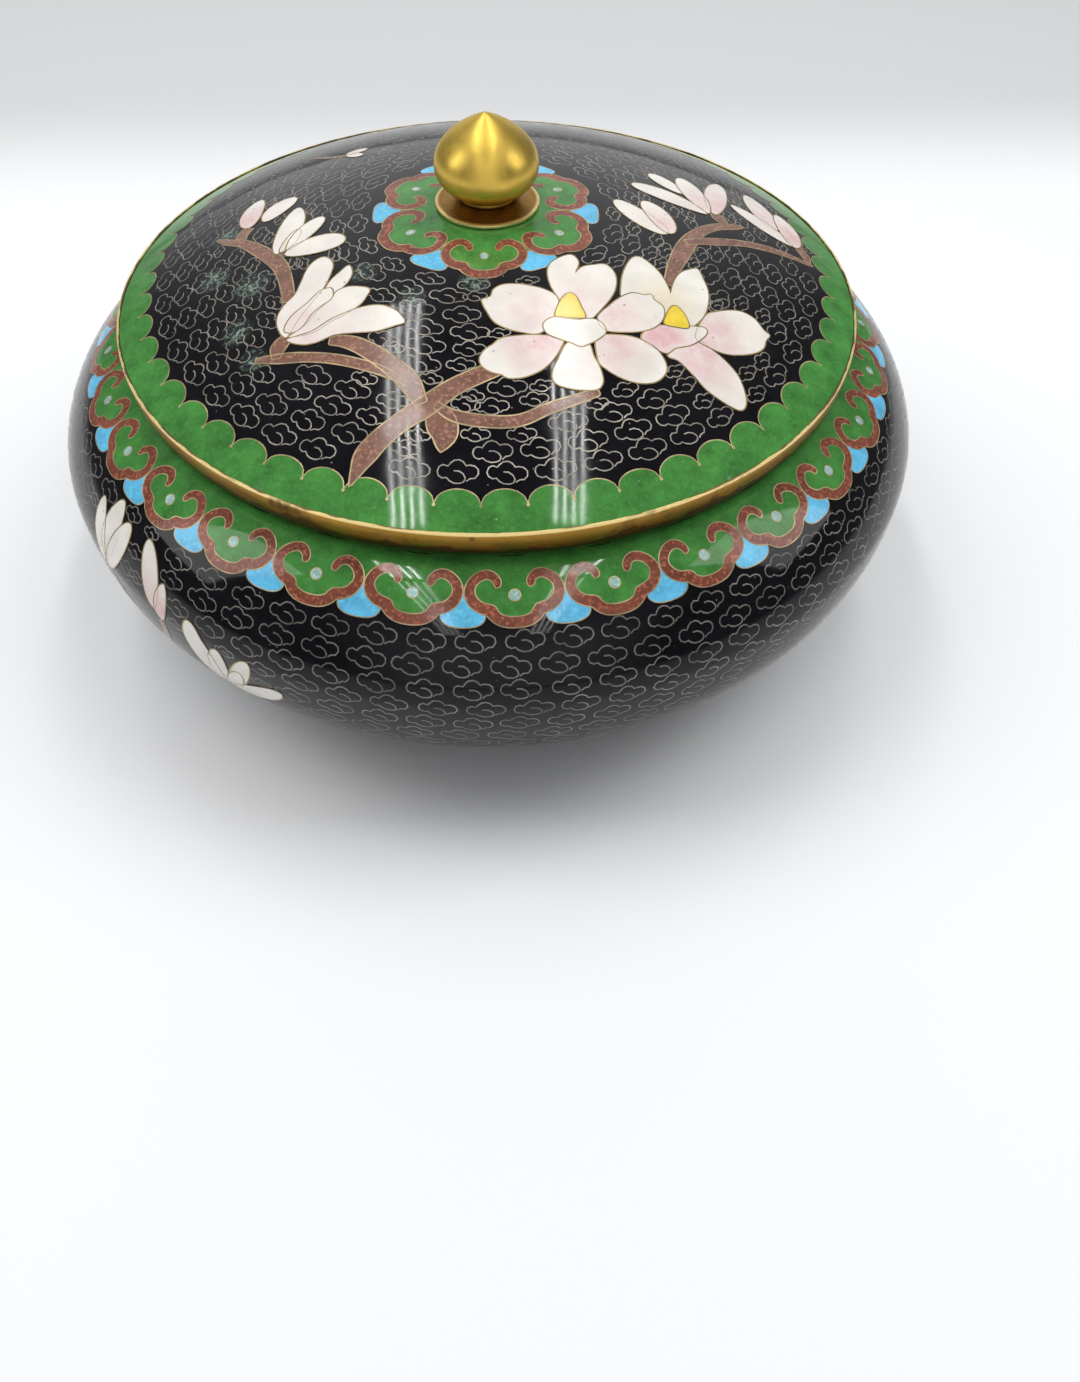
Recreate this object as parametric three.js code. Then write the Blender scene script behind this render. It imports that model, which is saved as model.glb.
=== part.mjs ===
// Cloisonne lidded bowl. Millimetres, +Z up, origin on the floor at the centre of the foot ring.
// Every piece is turned about the Z axis. The decorated front faces -Y.
import * as THREE from 'three';

// Driving dimensions
const ROUND_FACETS = 56;
const KNOB_FACETS = 24;
const BASE_STEPS = 10;
const SHOULDER_STEPS = 7;
const CLEARANCE = 0.3;

const BELLY_RADIUS = 101.9;
const BELLY_HEIGHT = 44.6;
const SHOULDER_EXPONENT = 1.6;
const NECK_RADIUS = 79.8;
const NECK_HEIGHT = 65.2;
const LOWER_EXPONENT = 2.3;
const BASE_RADIUS = 50.6;
const BASE_HEIGHT = 6.5;
const BASE_RISE = 1.5;
const BOWL_WALL = 2.6;

const FOOT_OUTER_RADIUS = 51.6;
const FOOT_INNER_RADIUS = 47.4;
const FOOT_TAPER = 1.0;
const FOOT_EDGE = 0.6;

const RIM_HEIGHT = 72.5;
const LID_RADIUS = 82.5;
const LID_RISE = 19.5;
const LID_WALL = 2.4;

const BAND_TOP_RADIUS = 83.1;
const BAND_BOTTOM_RADIUS = 82.3;
const BAND_DEPTH = 5.6;
const BAND_BULGE = 0.25;
const BAND_INNER_RADIUS = 77.6;
const BAND_EDGE = 0.3;

const SEAT_OUTER_RADIUS = 80.3;
const LIP_INNER_RADIUS = 75.4;
const LIP_THICKNESS = 1.4;
const LIP_RISE = 3.4;

const COLLAR_RADIUS = 11.3;
const COLLAR_EDGE = 0.5;
const COLLAR_DISH_RADIUS = 9.8;
const COLLAR_SEAT_RADIUS = 6.9;
const COLLAR_SEAT_RISE = 1.2;

const BALL_RADIUS = 11.05;
const BALL_CENTRE_RISE = 27.4;
const BALL_DROP = 6.9;
const POINT_RISE = 10.7;
const POINT_EXPONENT = 2.2;
const NECK_RING_RADIUS = 6.7;
const NECK_RING_HEIGHT = 0.7;

const GILT_BRASS = { color: 0xb5913f, roughness: 0.3, metalness: 1.0 };

// Points of a curve given as a function of t from 0 to 1, both ends included
function sweep(steps, curve) {
  return Array.from({ length: steps + 1 }, (_, i) => curve(i / steps));
}

// A curve moved sideways by a distance, to the left of its direction of travel
function offset(points, distance) {
  return points.map((point, i) => {
    const before = points[Math.max(i - 1, 0)];
    const after = points[Math.min(i + 1, points.length - 1)];
    const along = after.clone().sub(before).normalize();
    return new THREE.Vector2(point.x - along.y * distance, point.y + along.x * distance);
  });
}

function profilePoint(radius, height) {
  return new THREE.Vector2(Math.max(radius, 0), height);
}

// A solid of revolution about Z from a profile of (radius, height) points
function turned(name, profile, facets, finish) {
  const geometry = new THREE.LatheGeometry(profile, facets);
  geometry.rotateX(Math.PI / 2);
  const mesh = new THREE.Mesh(geometry, new THREE.MeshStandardMaterial(finish));
  mesh.name = name;
  return mesh;
}

function closed(profile) {
  return [...profile, profile[0].clone()];
}

// Height of the lid's outer dome above the floor at a radius: a spherical cap over the rim circle
const DOME_SPHERE = (LID_RADIUS ** 2 + LID_RISE ** 2) / (2 * LID_RISE);

function domeHeight(radius, inset = 0) {
  return RIM_HEIGHT + LID_RISE - DOME_SPHERE + Math.sqrt((DOME_SPHERE - inset) ** 2 - radius ** 2);
}

// Outer curve of the bowl, from the base circle up: two superelliptic quarters that meet at the belly
function bowlCurve() {
  const lower = sweep(BASE_STEPS, (t) => {
    const angle = (1 - t) * Math.PI / 2;
    const across = Math.cos(angle) ** (2 / LOWER_EXPONENT);
    const down = Math.sin(angle) ** (2 / LOWER_EXPONENT);
    return profilePoint(
      BASE_RADIUS + (BELLY_RADIUS - BASE_RADIUS) * across,
      BELLY_HEIGHT - (BELLY_HEIGHT - BASE_HEIGHT) * down,
    );
  });
  const upper = sweep(SHOULDER_STEPS, (t) => {
    const angle = t * Math.PI / 2;
    const across = Math.cos(angle) ** (2 / SHOULDER_EXPONENT);
    const up = Math.sin(angle) ** (2 / SHOULDER_EXPONENT);
    return profilePoint(
      NECK_RADIUS + (BELLY_RADIUS - NECK_RADIUS) * across,
      BELLY_HEIGHT + (NECK_HEIGHT - BELLY_HEIGHT) * up,
    );
  });
  return [...lower, ...upper.slice(1)];
}

// The enamelled copper bowl: one wall of even thickness, open at the mouth
function bowlBody() {
  const outer = bowlCurve();
  const inner = offset(outer, BOWL_WALL);
  const mouthInner = profilePoint(NECK_RADIUS - BOWL_WALL, NECK_HEIGHT);
  const inside = [mouthInner, ...inner.slice(1, -1).reverse()];
  const floor = sweep(3, (t) => profilePoint(
    BASE_RADIUS * (1 - t),
    BASE_HEIGHT + BOWL_WALL + BASE_RISE * (1 - (1 - t) ** 2),
  ));
  const underside = sweep(3, (t) => profilePoint(
    BASE_RADIUS * t,
    BASE_HEIGHT + BASE_RISE * (1 - t ** 2),
  ));
  const profile = [...underside, ...outer.slice(1), ...inside, ...floor];
  return turned('bowl_body', profile, ROUND_FACETS, { color: 0x1b1c22, roughness: 0.2, metalness: 0.0 });
}

// The brass foot: a plain ring that widens a little to the floor
function footRing() {
  const top = BASE_HEIGHT - CLEARANCE;
  return turned('foot_ring', closed([
    profilePoint(FOOT_INNER_RADIUS + FOOT_EDGE, 0),
    profilePoint(FOOT_OUTER_RADIUS - FOOT_EDGE, 0),
    profilePoint(FOOT_OUTER_RADIUS, FOOT_EDGE),
    profilePoint(FOOT_OUTER_RADIUS - FOOT_TAPER, top),
    profilePoint(FOOT_INNER_RADIUS, top),
    profilePoint(FOOT_INNER_RADIUS, FOOT_EDGE),
  ]), ROUND_FACETS, GILT_BRASS);
}

// The brass ring on the bowl's edge: a flat seat for the lid and an upright lip inside it
function mouthRing() {
  const bottom = NECK_HEIGHT + CLEARANCE;
  const seat = RIM_HEIGHT - BAND_DEPTH - CLEARANCE;
  const lipOuter = LIP_INNER_RADIUS + LIP_THICKNESS;
  return turned('mouth_ring', closed([
    profilePoint(LIP_INNER_RADIUS, bottom),
    profilePoint(SEAT_OUTER_RADIUS, bottom),
    profilePoint(SEAT_OUTER_RADIUS, seat),
    profilePoint(lipOuter, seat),
    profilePoint(lipOuter, seat + LIP_RISE),
    profilePoint(LIP_INNER_RADIUS, seat + LIP_RISE),
  ]), ROUND_FACETS, GILT_BRASS);
}

// The enamelled copper lid: a dome of even thickness, cut square at its edge
function lidShell() {
  const edgeRadius = LID_RADIUS - CLEARANCE;
  const outer = sweep(9, (t) => profilePoint(edgeRadius * (1 - t), domeHeight(edgeRadius * (1 - t))));
  const inner = sweep(9, (t) => profilePoint(edgeRadius * t, domeHeight(edgeRadius * t, LID_WALL)));
  return turned('lid_shell', [...inner, ...outer], ROUND_FACETS, {
    color: 0x2a2a2c, roughness: 0.2, metalness: 0.0,
  });
}

// The brass band round the lid: a ledge under the dome's edge and a thin wall outside it
function lidRim() {
  const bottom = RIM_HEIGHT - BAND_DEPTH;
  const ledge = domeHeight(LID_RADIUS - CLEARANCE, LID_WALL) - CLEARANCE;
  const face = sweep(3, (t) => profilePoint(
    BAND_BOTTOM_RADIUS + (BAND_TOP_RADIUS - BAND_BOTTOM_RADIUS) * t + BAND_BULGE * 4 * t * (1 - t),
    bottom + BAND_EDGE + (BAND_DEPTH - 2 * BAND_EDGE) * t,
  ));
  return turned('lid_rim', closed([
    profilePoint(BAND_INNER_RADIUS, bottom),
    profilePoint(BAND_BOTTOM_RADIUS - BAND_EDGE, bottom),
    ...face,
    profilePoint(BAND_TOP_RADIUS - BAND_EDGE, RIM_HEIGHT),
    profilePoint(LID_RADIUS, RIM_HEIGHT),
    profilePoint(LID_RADIUS, ledge),
    profilePoint(BAND_INNER_RADIUS, ledge),
  ]), ROUND_FACETS, GILT_BRASS);
}

// The thin brass dish under the knob, bedded on the dome
function knobCollar() {
  const dishHeight = domeHeight(COLLAR_DISH_RADIUS) + CLEARANCE + COLLAR_EDGE;
  const seatHeight = domeHeight(0) + COLLAR_SEAT_RISE;
  const bed = sweep(3, (t) => profilePoint(
    COLLAR_RADIUS * t,
    domeHeight(COLLAR_RADIUS * t) + CLEARANCE,
  ));
  return turned('knob_collar', [
    ...bed,
    profilePoint(COLLAR_RADIUS, domeHeight(COLLAR_RADIUS) + CLEARANCE + COLLAR_EDGE),
    profilePoint(COLLAR_DISH_RADIUS, dishHeight),
    profilePoint(COLLAR_SEAT_RADIUS, seatHeight),
    profilePoint(0, seatHeight),
  ], KNOB_FACETS, GILT_BRASS);
}

// The turned knob: a neck ring, a flattened lower half and an upper half drawn up to a point
function knob() {
  const foot = domeHeight(0) + COLLAR_SEAT_RISE + CLEARANCE;
  const neckTop = foot + NECK_RING_HEIGHT;
  const centre = RIM_HEIGHT + BALL_CENTRE_RISE;
  const start = Math.asin((centre - neckTop) / BALL_DROP);
  const lower = sweep(5, (t) => {
    const angle = start * (1 - t);
    return profilePoint(BALL_RADIUS * Math.cos(angle), centre - BALL_DROP * Math.sin(angle));
  });
  const upper = sweep(8, (t) => profilePoint(
    BALL_RADIUS * (1 - t ** POINT_EXPONENT),
    centre + POINT_RISE * t,
  ));
  return turned('knob', [
    profilePoint(0, foot),
    profilePoint(NECK_RING_RADIUS, foot),
    profilePoint(NECK_RING_RADIUS, neckTop),
    ...lower,
    ...upper.slice(1),
  ], KNOB_FACETS, GILT_BRASS);
}

const bowl = new THREE.Group();
bowl.add(bowlBody(), footRing(), mouthRing());

const lid = new THREE.Group();
lid.add(lidShell(), lidRim(), knobCollar(), knob());

const liddedBowl = new THREE.Group();
liddedBowl.add(bowl, lid);

export default liddedBowl;
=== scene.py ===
"""Cloisonne lidded bowl: a squat black bowl and domed lid with wire clouds, magnolias and ruyi borders.

Lengths in the settings and in the artwork are millimetres; meshes are made in metres. The bowl stands
on z = 0 with its axis on Z, and the decorated front faces -Y.
"""

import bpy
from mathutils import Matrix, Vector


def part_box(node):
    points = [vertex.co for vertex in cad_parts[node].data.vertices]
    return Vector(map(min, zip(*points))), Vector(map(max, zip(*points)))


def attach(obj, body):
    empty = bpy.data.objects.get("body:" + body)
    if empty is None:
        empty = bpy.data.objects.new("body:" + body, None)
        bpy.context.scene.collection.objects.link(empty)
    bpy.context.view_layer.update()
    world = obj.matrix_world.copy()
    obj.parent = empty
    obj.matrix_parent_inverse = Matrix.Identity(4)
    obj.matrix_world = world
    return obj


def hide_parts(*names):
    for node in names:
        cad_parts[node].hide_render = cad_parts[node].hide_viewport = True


bl_info = {
    "name": "Cloisonne lidded bowl",
    "version": (1, 0, 0),
    "blender": (4, 5, 0),
    "location": "View3D > Sidebar > Cloisonne",
    "description": "Builds the enamel, wires and brass of a cloisonne lidded bowl",
    "category": "Add Mesh",
}

import bpy
import numpy as np
from mathutils import Matrix, Vector

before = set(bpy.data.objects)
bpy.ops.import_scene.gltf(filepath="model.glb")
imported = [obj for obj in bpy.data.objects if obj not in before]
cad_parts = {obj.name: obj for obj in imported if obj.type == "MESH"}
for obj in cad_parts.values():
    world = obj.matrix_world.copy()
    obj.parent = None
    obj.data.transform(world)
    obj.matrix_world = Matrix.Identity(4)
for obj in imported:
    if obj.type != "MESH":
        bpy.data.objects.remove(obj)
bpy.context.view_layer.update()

MM = 0.001
BODY = "root"
TURN = 2 * np.pi


def box_mm(node):
    """Lowest and highest corner of a node of the frame, in millimetres."""
    low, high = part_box(node)
    return np.array(low) / MM, np.array(high) / MM


BOWL_LOW, BOWL_HIGH = box_mm("bowl_body")
_, FOOT_HIGH = box_mm("foot_ring")
MOUTH_LOW, MOUTH_HIGH = box_mm("mouth_ring")
_, LID_HIGH = box_mm("lid_shell")
BAND_LOW, BAND_HIGH = box_mm("lid_rim")
_, COLLAR_HIGH = box_mm("knob_collar")
KNOB_LOW, KNOB_HIGH = box_mm("knob")

BELLY_RADIUS = BOWL_HIGH[0]
NECK_HEIGHT = BOWL_HIGH[2]
BASE_HEIGHT = BOWL_LOW[2]
RIM_HEIGHT = BAND_HIGH[2]
LID_TOP = LID_HIGH[2]
LID_EDGE = LID_HIGH[0]

# Lifts of the enamel and wire layers against the surface of the solids, mm: all lie below it
GROUND = -0.20
FIELD = -0.168
INLAY = -0.158
BRANCH = -0.150
BRANCH_STEP = 0.004
BAND_ENAMEL = -0.130
PETAL = -0.105
PETAL_STEP = 0.012
WIRE_RISE = 0.022
WIRE_SINK = 0.008
SKIRT = 0.12
CLEARANCE = 0.3
SHARP_ANGLE = np.radians(35)

# Columns of the turned pieces, and points of the bowl's curve
GROUND_COLUMNS = 256
LINING_COLUMNS = 192
BASE_COLUMNS = 128
RING_COLUMNS = 192
BAND_COLUMNS = 288
KNOB_COLUMNS = 144
CURVE_STEPS = 1500
CURVE_POINTS = 1200


def number(name, description, default):
    """A plain number, or a length where the description says mm."""
    return bpy.props.FloatProperty(name=name, description=description, default=default)


def whole_number(name, description, default):
    """A whole number."""
    return bpy.props.IntProperty(name=name, description=description, default=default)


def rotation(name, description, default):
    """An angle in radians, shown in degrees."""
    return bpy.props.FloatProperty(
        name=name, description=description, default=default, subtype="ANGLE", unit="ROTATION")


def wattage(name, description, default):
    """The power of a lamp in watts."""
    return bpy.props.FloatProperty(name=name, description=description, default=default, unit="POWER")


def colour_property(name, description, default):
    """A linear RGB colour property."""
    return bpy.props.FloatVectorProperty(
        name=name, description=description, subtype="COLOR", size=3, min=0, max=1, default=default)


class BowlForm(bpy.types.PropertyGroup):
    """Sizes of the bowl and the lid that the frame's boxes do not give"""

    belly_height: number("Belly height", "Height of the widest circle above the floor, mm", 44.6)
    neck_radius: number("Neck radius", "Outer radius of the bowl's mouth, mm", 79.8)
    shoulder_exponent: number("Shoulder exponent", "Superellipse exponent of the upper quarter", 1.6)
    lower_exponent: number("Lower exponent", "Superellipse exponent of the lower quarter", 2.3)
    base_radius: number("Base radius", "Radius where the wall meets the foot, mm", 50.6)
    base_rise: number("Base rise", "Height of the hollow under the base, mm", 1.5)
    bowl_wall: number("Bowl wall", "Thickness of the enamelled wall of the bowl, mm", 2.6)
    lid_radius: number("Lid radius", "Radius of the circle that the dome springs from, mm", 82.5)
    lid_wall: number("Lid wall", "Thickness of the enamelled wall of the lid, mm", 2.4)


class BrassForm(bpy.types.PropertyGroup):
    """Sizes of the brass rings, the collar and the knob"""

    foot_wall: number("Foot wall", "Thickness of the foot ring at the floor, mm", 4.2)
    foot_taper: number("Foot taper", "How far the foot ring narrows towards the bowl, mm", 1.0)
    band_bottom: number("Band bottom radius", "Radius of the lid band at its lower edge, mm", 82.3)
    band_bulge: number("Band bulge", "How far the face of the lid band swells, mm", 0.25)
    band_inner: number("Band inner radius", "Inner radius of the ledge under the dome, mm", 77.6)
    lip_inner: number("Lip inner radius", "Inner radius of the bowl's upright lip, mm", 75.4)
    lip_thickness: number("Lip thickness", "Thickness of the bowl's upright lip, mm", 1.4)
    lip_rise: number("Lip rise", "Height of the lip above the lid's seat, mm", 3.4)
    collar_dish: number("Collar dish radius", "Radius where the dish meets its rim, mm", 9.8)
    collar_seat: number("Collar seat radius", "Radius of the flat seat under the knob, mm", 6.9)
    ball_centre: number(
        "Knob centre height", "Height of the knob's widest circle above the floor, mm", 99.9)
    ball_drop: number("Knob lower depth", "Depth of the knob's rounded lower half, mm", 6.9)
    point_exponent: number("Knob point exponent", "How full the knob is below its point", 2.2)
    neck_ring: number("Knob ring radius", "Radius of the ring that the knob stands on, mm", 6.35)


class ArtworkSettings(bpy.types.PropertyGroup):
    """Counts and sizes of the wire and enamel pattern"""

    wire_width: number("Wire width", "Width of the cloud wires, mm", 0.32)
    fine_wire_width: number("Fine wire width", "Width of the wires round bands and borders, mm", 0.26)
    petal_wire_width: number(
        "Petal wire width", "Width of the wires round petals and branches, mm", 0.33)
    cloud_size: number("Cloud size", "Size of a cloud against its drawing", 0.95)
    head_count: whole_number("Ruyi heads", "Number of ruyi heads round the bowl's neck", 29)
    head_start: rotation("First head", "Azimuth of one ruyi head from the front", -1.4823)
    head_depth: number("Head depth", "Distance from the mouth down to the heads' dots, mm", 9.2)
    scallop_count: whole_number("Scallops", "Number of scallops round the lid's green border", 56)
    scallop_start: rotation("First cusp", "Azimuth of one cusp of the scallops from the front", -1.3822)
    cusp_radius: number("Cusp radius", "Radius of the scallops' cusps, mm", 77.5)
    scallop_depth: number(
        "Scallop depth", "How far each scallop bulges towards the lid's centre, mm", 2.8)
    cloud_pitch: number("Cloud pitch", "Distance between the clouds of a row, mm", 9.25)
    lid_row_pitch: number("Lid row pitch", "Distance between the rings of clouds on the lid, mm", 4.35)
    bowl_row_pitch: number(
        "Bowl row pitch", "Distance between the rows of clouds on the bowl, mm", 4.75)
    seed: whole_number("Seed", "Seed of the small irregularities of handwork", 7)


class EnamelColours(bpy.types.PropertyGroup):
    """Colours of the enamels and metals"""

    black: colour_property("Black", "Ground enamel of bowl and lid", (0.0045, 0.0042, 0.0062))
    green: colour_property("Green", "Border, neck and ruyi heads", (0.056, 0.218, 0.044))
    brown: colour_property("Brown", "Ruyi bands", (0.190, 0.060, 0.036))
    bark: colour_property("Bark", "Branches", (0.205, 0.105, 0.075))
    blue: colour_property("Blue", "Fans between the ruyi heads", (0.120, 0.480, 0.760))
    cream: colour_property("Cream", "Petals", (0.805, 0.778, 0.715))
    pink: colour_property("Pink", "Blush in the petals", (0.710, 0.440, 0.455))
    yellow: colour_property("Yellow", "Hearts of the flowers", (0.800, 0.590, 0.055))
    turquoise: colour_property("Turquoise", "Inside of bowl and lid", (0.030, 0.300, 0.360))
    brass: colour_property("Brass", "Rings, lid band and collar", (0.410, 0.220, 0.036))
    knob: colour_property("Knob brass", "Knob", (0.900, 0.620, 0.115))
    # Two tones of one cloud wire, lit and shaded copies: painted shade on the bowl here, painted light on the
    # lid below
    wire: colour_property("Wire", "Wires of the clouds on the bowl", (0.200, 0.185, 0.165))
    lid_wire_lit: colour_property("Lid wire", "Wires of the clouds on the lid", (0.340, 0.310, 0.260))
    gilt_wire: colour_property("Gilt wire", "Wires of borders and branches", (0.480, 0.370, 0.200))
    petal_wire: colour_property("Petal wire", "Wires round the petals", (0.330, 0.240, 0.095))
    verdigris: colour_property("Verdigris", "Pale green bloom on the lid", (0.280, 0.400, 0.330))
    dot: colour_property("Dot", "Dots in the ruyi heads", (0.280, 0.460, 0.420))
    petal_gold: colour_property("Petal gold", "Warm tint in some petals", (0.700, 0.560, 0.310))
    pit: colour_property("Pit", "Small pits in the enamel", (0.300, 0.290, 0.270))
    petal_pit: colour_property("Petal pit", "Small pits in the petals", (0.160, 0.150, 0.140))
    # Painted highlight: a bright tone along the band's top edge and round the collar's rim, where light
    # catches them
    painted_highlight: colour_property("Painted highlight", "Rubbed edges of the band and the collar", (0.950, 0.730, 0.320))
    # Painted shade: a brown laid on the knob's lower third, where it mirrors the dark lid
    knob_painted_shade: colour_property("Knob painted shade", "Lower third of the knob", (0.210, 0.105, 0.022))
    band_shade: colour_property("Band shade", "Foot of the lid's band", (0.160, 0.085, 0.020))
    stain: colour_property("Stain", "Marks and stains on the brass", (0.085, 0.040, 0.014))


class StageSettings(bpy.types.PropertyGroup):
    """Camera, floor and lights"""

    camera_distance: number(
        "Camera distance", "How far the camera stands in front of the axis, mm", 227.65)
    camera_height: number("Camera height", "Height of the camera above the floor, mm", 208.71)
    heading: rotation("Heading", "Turn of the camera to the right of +Y", 0.0575834)
    pitch: rotation("Pitch", "Angle that the camera looks down by", 0.8990507)
    roll: rotation("Roll", "Roll of the camera", 0.0169601)
    focal_pixels: number("Focal length", "Focal length in pixels of the 1080 by 1382 frame", 1081.0)
    floor: colour_property("Floor", "Pale floor", (0.92, 0.93, 0.94))
    softbox_power: wattage("Softbox power", "Power of each large lamp at the sides", 4.0)
    tube_power: wattage("Tube power", "Power of each thin lamp overhead", 0.60)
    front_power: wattage("Front power", "Power of each thin lamp over the front", 0.22)
    card_power: wattage("Card power", "Power of each card that only glints in the metal", 1.50)


class BowlSettings(bpy.types.PropertyGroup):
    """All settings of the lidded bowl"""

    form: bpy.props.PointerProperty(type=BowlForm)
    brass: bpy.props.PointerProperty(type=BrassForm)
    artwork: bpy.props.PointerProperty(type=ArtworkSettings)
    colours: bpy.props.PointerProperty(type=EnamelColours)
    stage: bpy.props.PointerProperty(type=StageSettings)


def new_object(name, data):
    """An object with its data, linked into the scene."""
    made = bpy.data.objects.new(name, data)
    bpy.context.scene.collection.objects.link(made)
    return made


def settings():
    """The settings of the lidded bowl in the open scene."""
    return bpy.context.scene.lidded_bowl


# Curves of the two vessels

def along(points):
    """Distance from the first point along a polyline, for each point."""
    steps = np.hypot(*np.diff(points, axis=0).T)
    return np.concatenate([[0.0], np.cumsum(steps)])


def bowl_curve():
    """Table (distance, radius, height, outward normal) of the bowl's outer curve, from the mouth down.

    Upper quarter: radius = neck + (belly - neck) cos(a)^(2/e), height = belly height + rise sin(a)^(2/e),
    with a from a right angle to 0. Lower quarter: the same from the belly to the base with its own
    exponent and the sine taken downwards.
    """
    form = settings().form
    angle = np.linspace(0, np.pi / 2, CURVE_STEPS)
    across = np.cos(angle).clip(0) ** (2 / form.shoulder_exponent)
    up = np.sin(angle) ** (2 / form.shoulder_exponent)
    upper = np.stack([
        form.neck_radius + (BELLY_RADIUS - form.neck_radius) * across,
        form.belly_height + (NECK_HEIGHT - form.belly_height) * up,
    ], -1)[::-1]
    across = np.cos(angle).clip(0) ** (2 / form.lower_exponent)
    down = np.sin(angle) ** (2 / form.lower_exponent)
    lower = np.stack([
        form.base_radius + (BELLY_RADIUS - form.base_radius) * across,
        form.belly_height - (form.belly_height - BASE_HEIGHT) * down,
    ], -1)
    points = np.concatenate([upper, lower[1:]])
    distance = along(points)
    even = np.linspace(0, distance[-1], CURVE_POINTS)
    radius = np.interp(even, distance, points[:, 0])
    height = np.interp(even, distance, points[:, 1])
    slope_r = np.gradient(radius, even)
    slope_z = np.gradient(height, even)
    size = np.hypot(slope_r, slope_z)
    return even, radius, height, -slope_z / size, slope_r / size


def dome_radius():
    """Radius of the sphere that passes through the rim circle and the top of the lid."""
    rise = LID_TOP - RIM_HEIGHT
    return (settings().form.lid_radius ** 2 + rise ** 2) / (2 * rise)


def dome_height(radius, lift=0.0):
    """Height of the dome at a radius, on the sphere grown by the lift."""
    sphere = dome_radius()
    return LID_TOP - sphere + np.sqrt((sphere + lift) ** 2 - radius ** 2)


def on_lid(points, lift):
    """Puts plan points (x, y) on the dome, moved by the lift along the sphere's radius."""
    sphere = dome_radius()
    squared = points[..., 0] ** 2 + points[..., 1] ** 2
    rise = np.sqrt(sphere ** 2 - squared)
    scale = 1 + lift / sphere
    return np.stack([
        points[..., 0] * scale,
        points[..., 1] * scale,
        LID_TOP - sphere + rise * scale,
    ], -1)


def on_bowl(reference):
    """Map of the belly: x is distance round it at the reference radius, y is minus the distance down."""
    distance, radius, height, normal_r, normal_z = bowl_curve()

    def place(points, lift):
        """The points of the map on the bowl, moved by the lift along its normal."""
        azimuth = points[..., 0] / reference
        depth = -points[..., 1]
        r = np.interp(depth, distance, radius) + lift * np.interp(depth, distance, normal_r)
        z = np.interp(depth, distance, height) + lift * np.interp(depth, distance, normal_z)
        return np.stack([r * np.sin(azimuth), -r * np.cos(azimuth), z + 0 * r], -1)

    return place


# Mesh parts: each is (vertices, quads, triangles, values), with one value for each vertex

def join(parts):
    """One mesh part from several, with their faces renumbered."""
    vertices, quads, triangles, values = [], [], [], []
    start = 0
    for part in parts:
        vertices.append(part[0])
        quads.append(part[1] + start)
        triangles.append(part[2] + start)
        values.append(part[3])
        start += len(part[0])
    return (
        np.concatenate(vertices), np.concatenate(quads), np.concatenate(triangles), np.concatenate(values))


def shell(rows, first_pole=False, last_pole=False):
    """Closed surface from rows (R, C, 3) of points that run anticlockwise seen from above.

    Rows go from the top outwards, down and back inwards. A pole closes an end with one point; with no
    poles the last row joins the first.
    """
    rows = np.asarray(rows, float)
    count, columns = rows.shape[:2]
    index = np.arange(count * columns).reshape(count, columns)
    below = np.roll(index, -1, axis=0)
    if first_pole or last_pole:
        index, below = index[:-1], below[:-1]
    quads = np.stack([
        index, below, np.roll(below, -1, axis=1), np.roll(index, -1, axis=1)], -1).reshape(-1, 4)
    vertices = rows.reshape(-1, 3)
    triangles = []
    ring = np.arange(columns)
    if first_pole:
        pole = len(vertices)
        vertices = np.concatenate([vertices, rows[0].mean(0)[None]])
        triangles.append(np.stack([np.full(columns, pole), ring, np.roll(ring, -1)], -1))
    if last_pole:
        pole = len(vertices)
        vertices = np.concatenate([vertices, rows[-1].mean(0)[None]])
        last = (count - 1) * columns + ring
        triangles.append(np.stack([np.full(columns, pole), np.roll(last, -1), last], -1))
    triangles = np.concatenate(triangles) if triangles else np.zeros((0, 3), int)
    return vertices, quads, triangles, np.zeros(len(vertices))


def turned(profile, columns, first_pole=False, last_pole=False):
    """Surface of revolution: each (radius, height) of the profile swept round Z in equal steps.

    With a pole, the profile's first or last point on the axis gives only the height of the pole.
    """
    profile = np.asarray(profile, float)
    azimuth = np.arange(columns) * TURN / columns
    radius = profile[:, 0, None]
    rows = np.stack([
        radius * np.cos(azimuth), radius * np.sin(azimuth), profile[:, 1, None] + 0 * azimuth], -1)
    body = rows[(1 if first_pole else 0):(-1 if last_pole else None)]
    part = list(shell(body, first_pole, last_pole))
    poles = ([profile[0, 1]] if first_pole else []) + ([profile[-1, 1]] if last_pole else [])
    if poles:
        part[0][-len(poles):, 2] = poles
    return tuple(part)


def tubes(sections, closed, value=0.0):
    """Closed tubes from sections (B, N, K, 3): K points over the top from left to right, N along.

    A closed tube joins its ends; an open one gets a flat cap at each end.
    """
    batch, stations, sides = sections.shape[:3]
    index = np.arange(batch * stations * sides).reshape(batch, stations, sides)
    ahead = np.roll(index, -1, axis=1)
    near = index
    if not closed:
        near, ahead = index[:, :-1], ahead[:, :-1]
    quads = np.stack([
        near, np.roll(near, -1, axis=2), np.roll(ahead, -1, axis=2), ahead], -1).reshape(-1, 4)
    triangles = np.zeros((0, 3), int)
    if not closed:
        first, last = index[:, 0, :], index[:, -1, :]
        fans = []
        for k in range(1, sides - 1):
            fans.append(np.stack([first[:, 0], first[:, k + 1], first[:, k]], -1))
            fans.append(np.stack([last[:, 0], last[:, k], last[:, k + 1]], -1))
        triangles = np.concatenate(fans)
    vertices = sections.reshape(-1, 3)
    return vertices, quads, triangles, np.full(len(vertices), value)


def sideways(paths, closed):
    """Unit vectors to the left of each path (..., N, 2), from the chord between a point's neighbours."""
    if closed:
        chord = np.roll(paths, -1, axis=-2) - np.roll(paths, 1, axis=-2)
    else:
        chord = np.gradient(paths, axis=-2)
    chord = chord / np.maximum(np.linalg.norm(chord, axis=-1, keepdims=True), 1e-9)
    return np.stack([-chord[..., 1], chord[..., 0]], -1)


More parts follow.
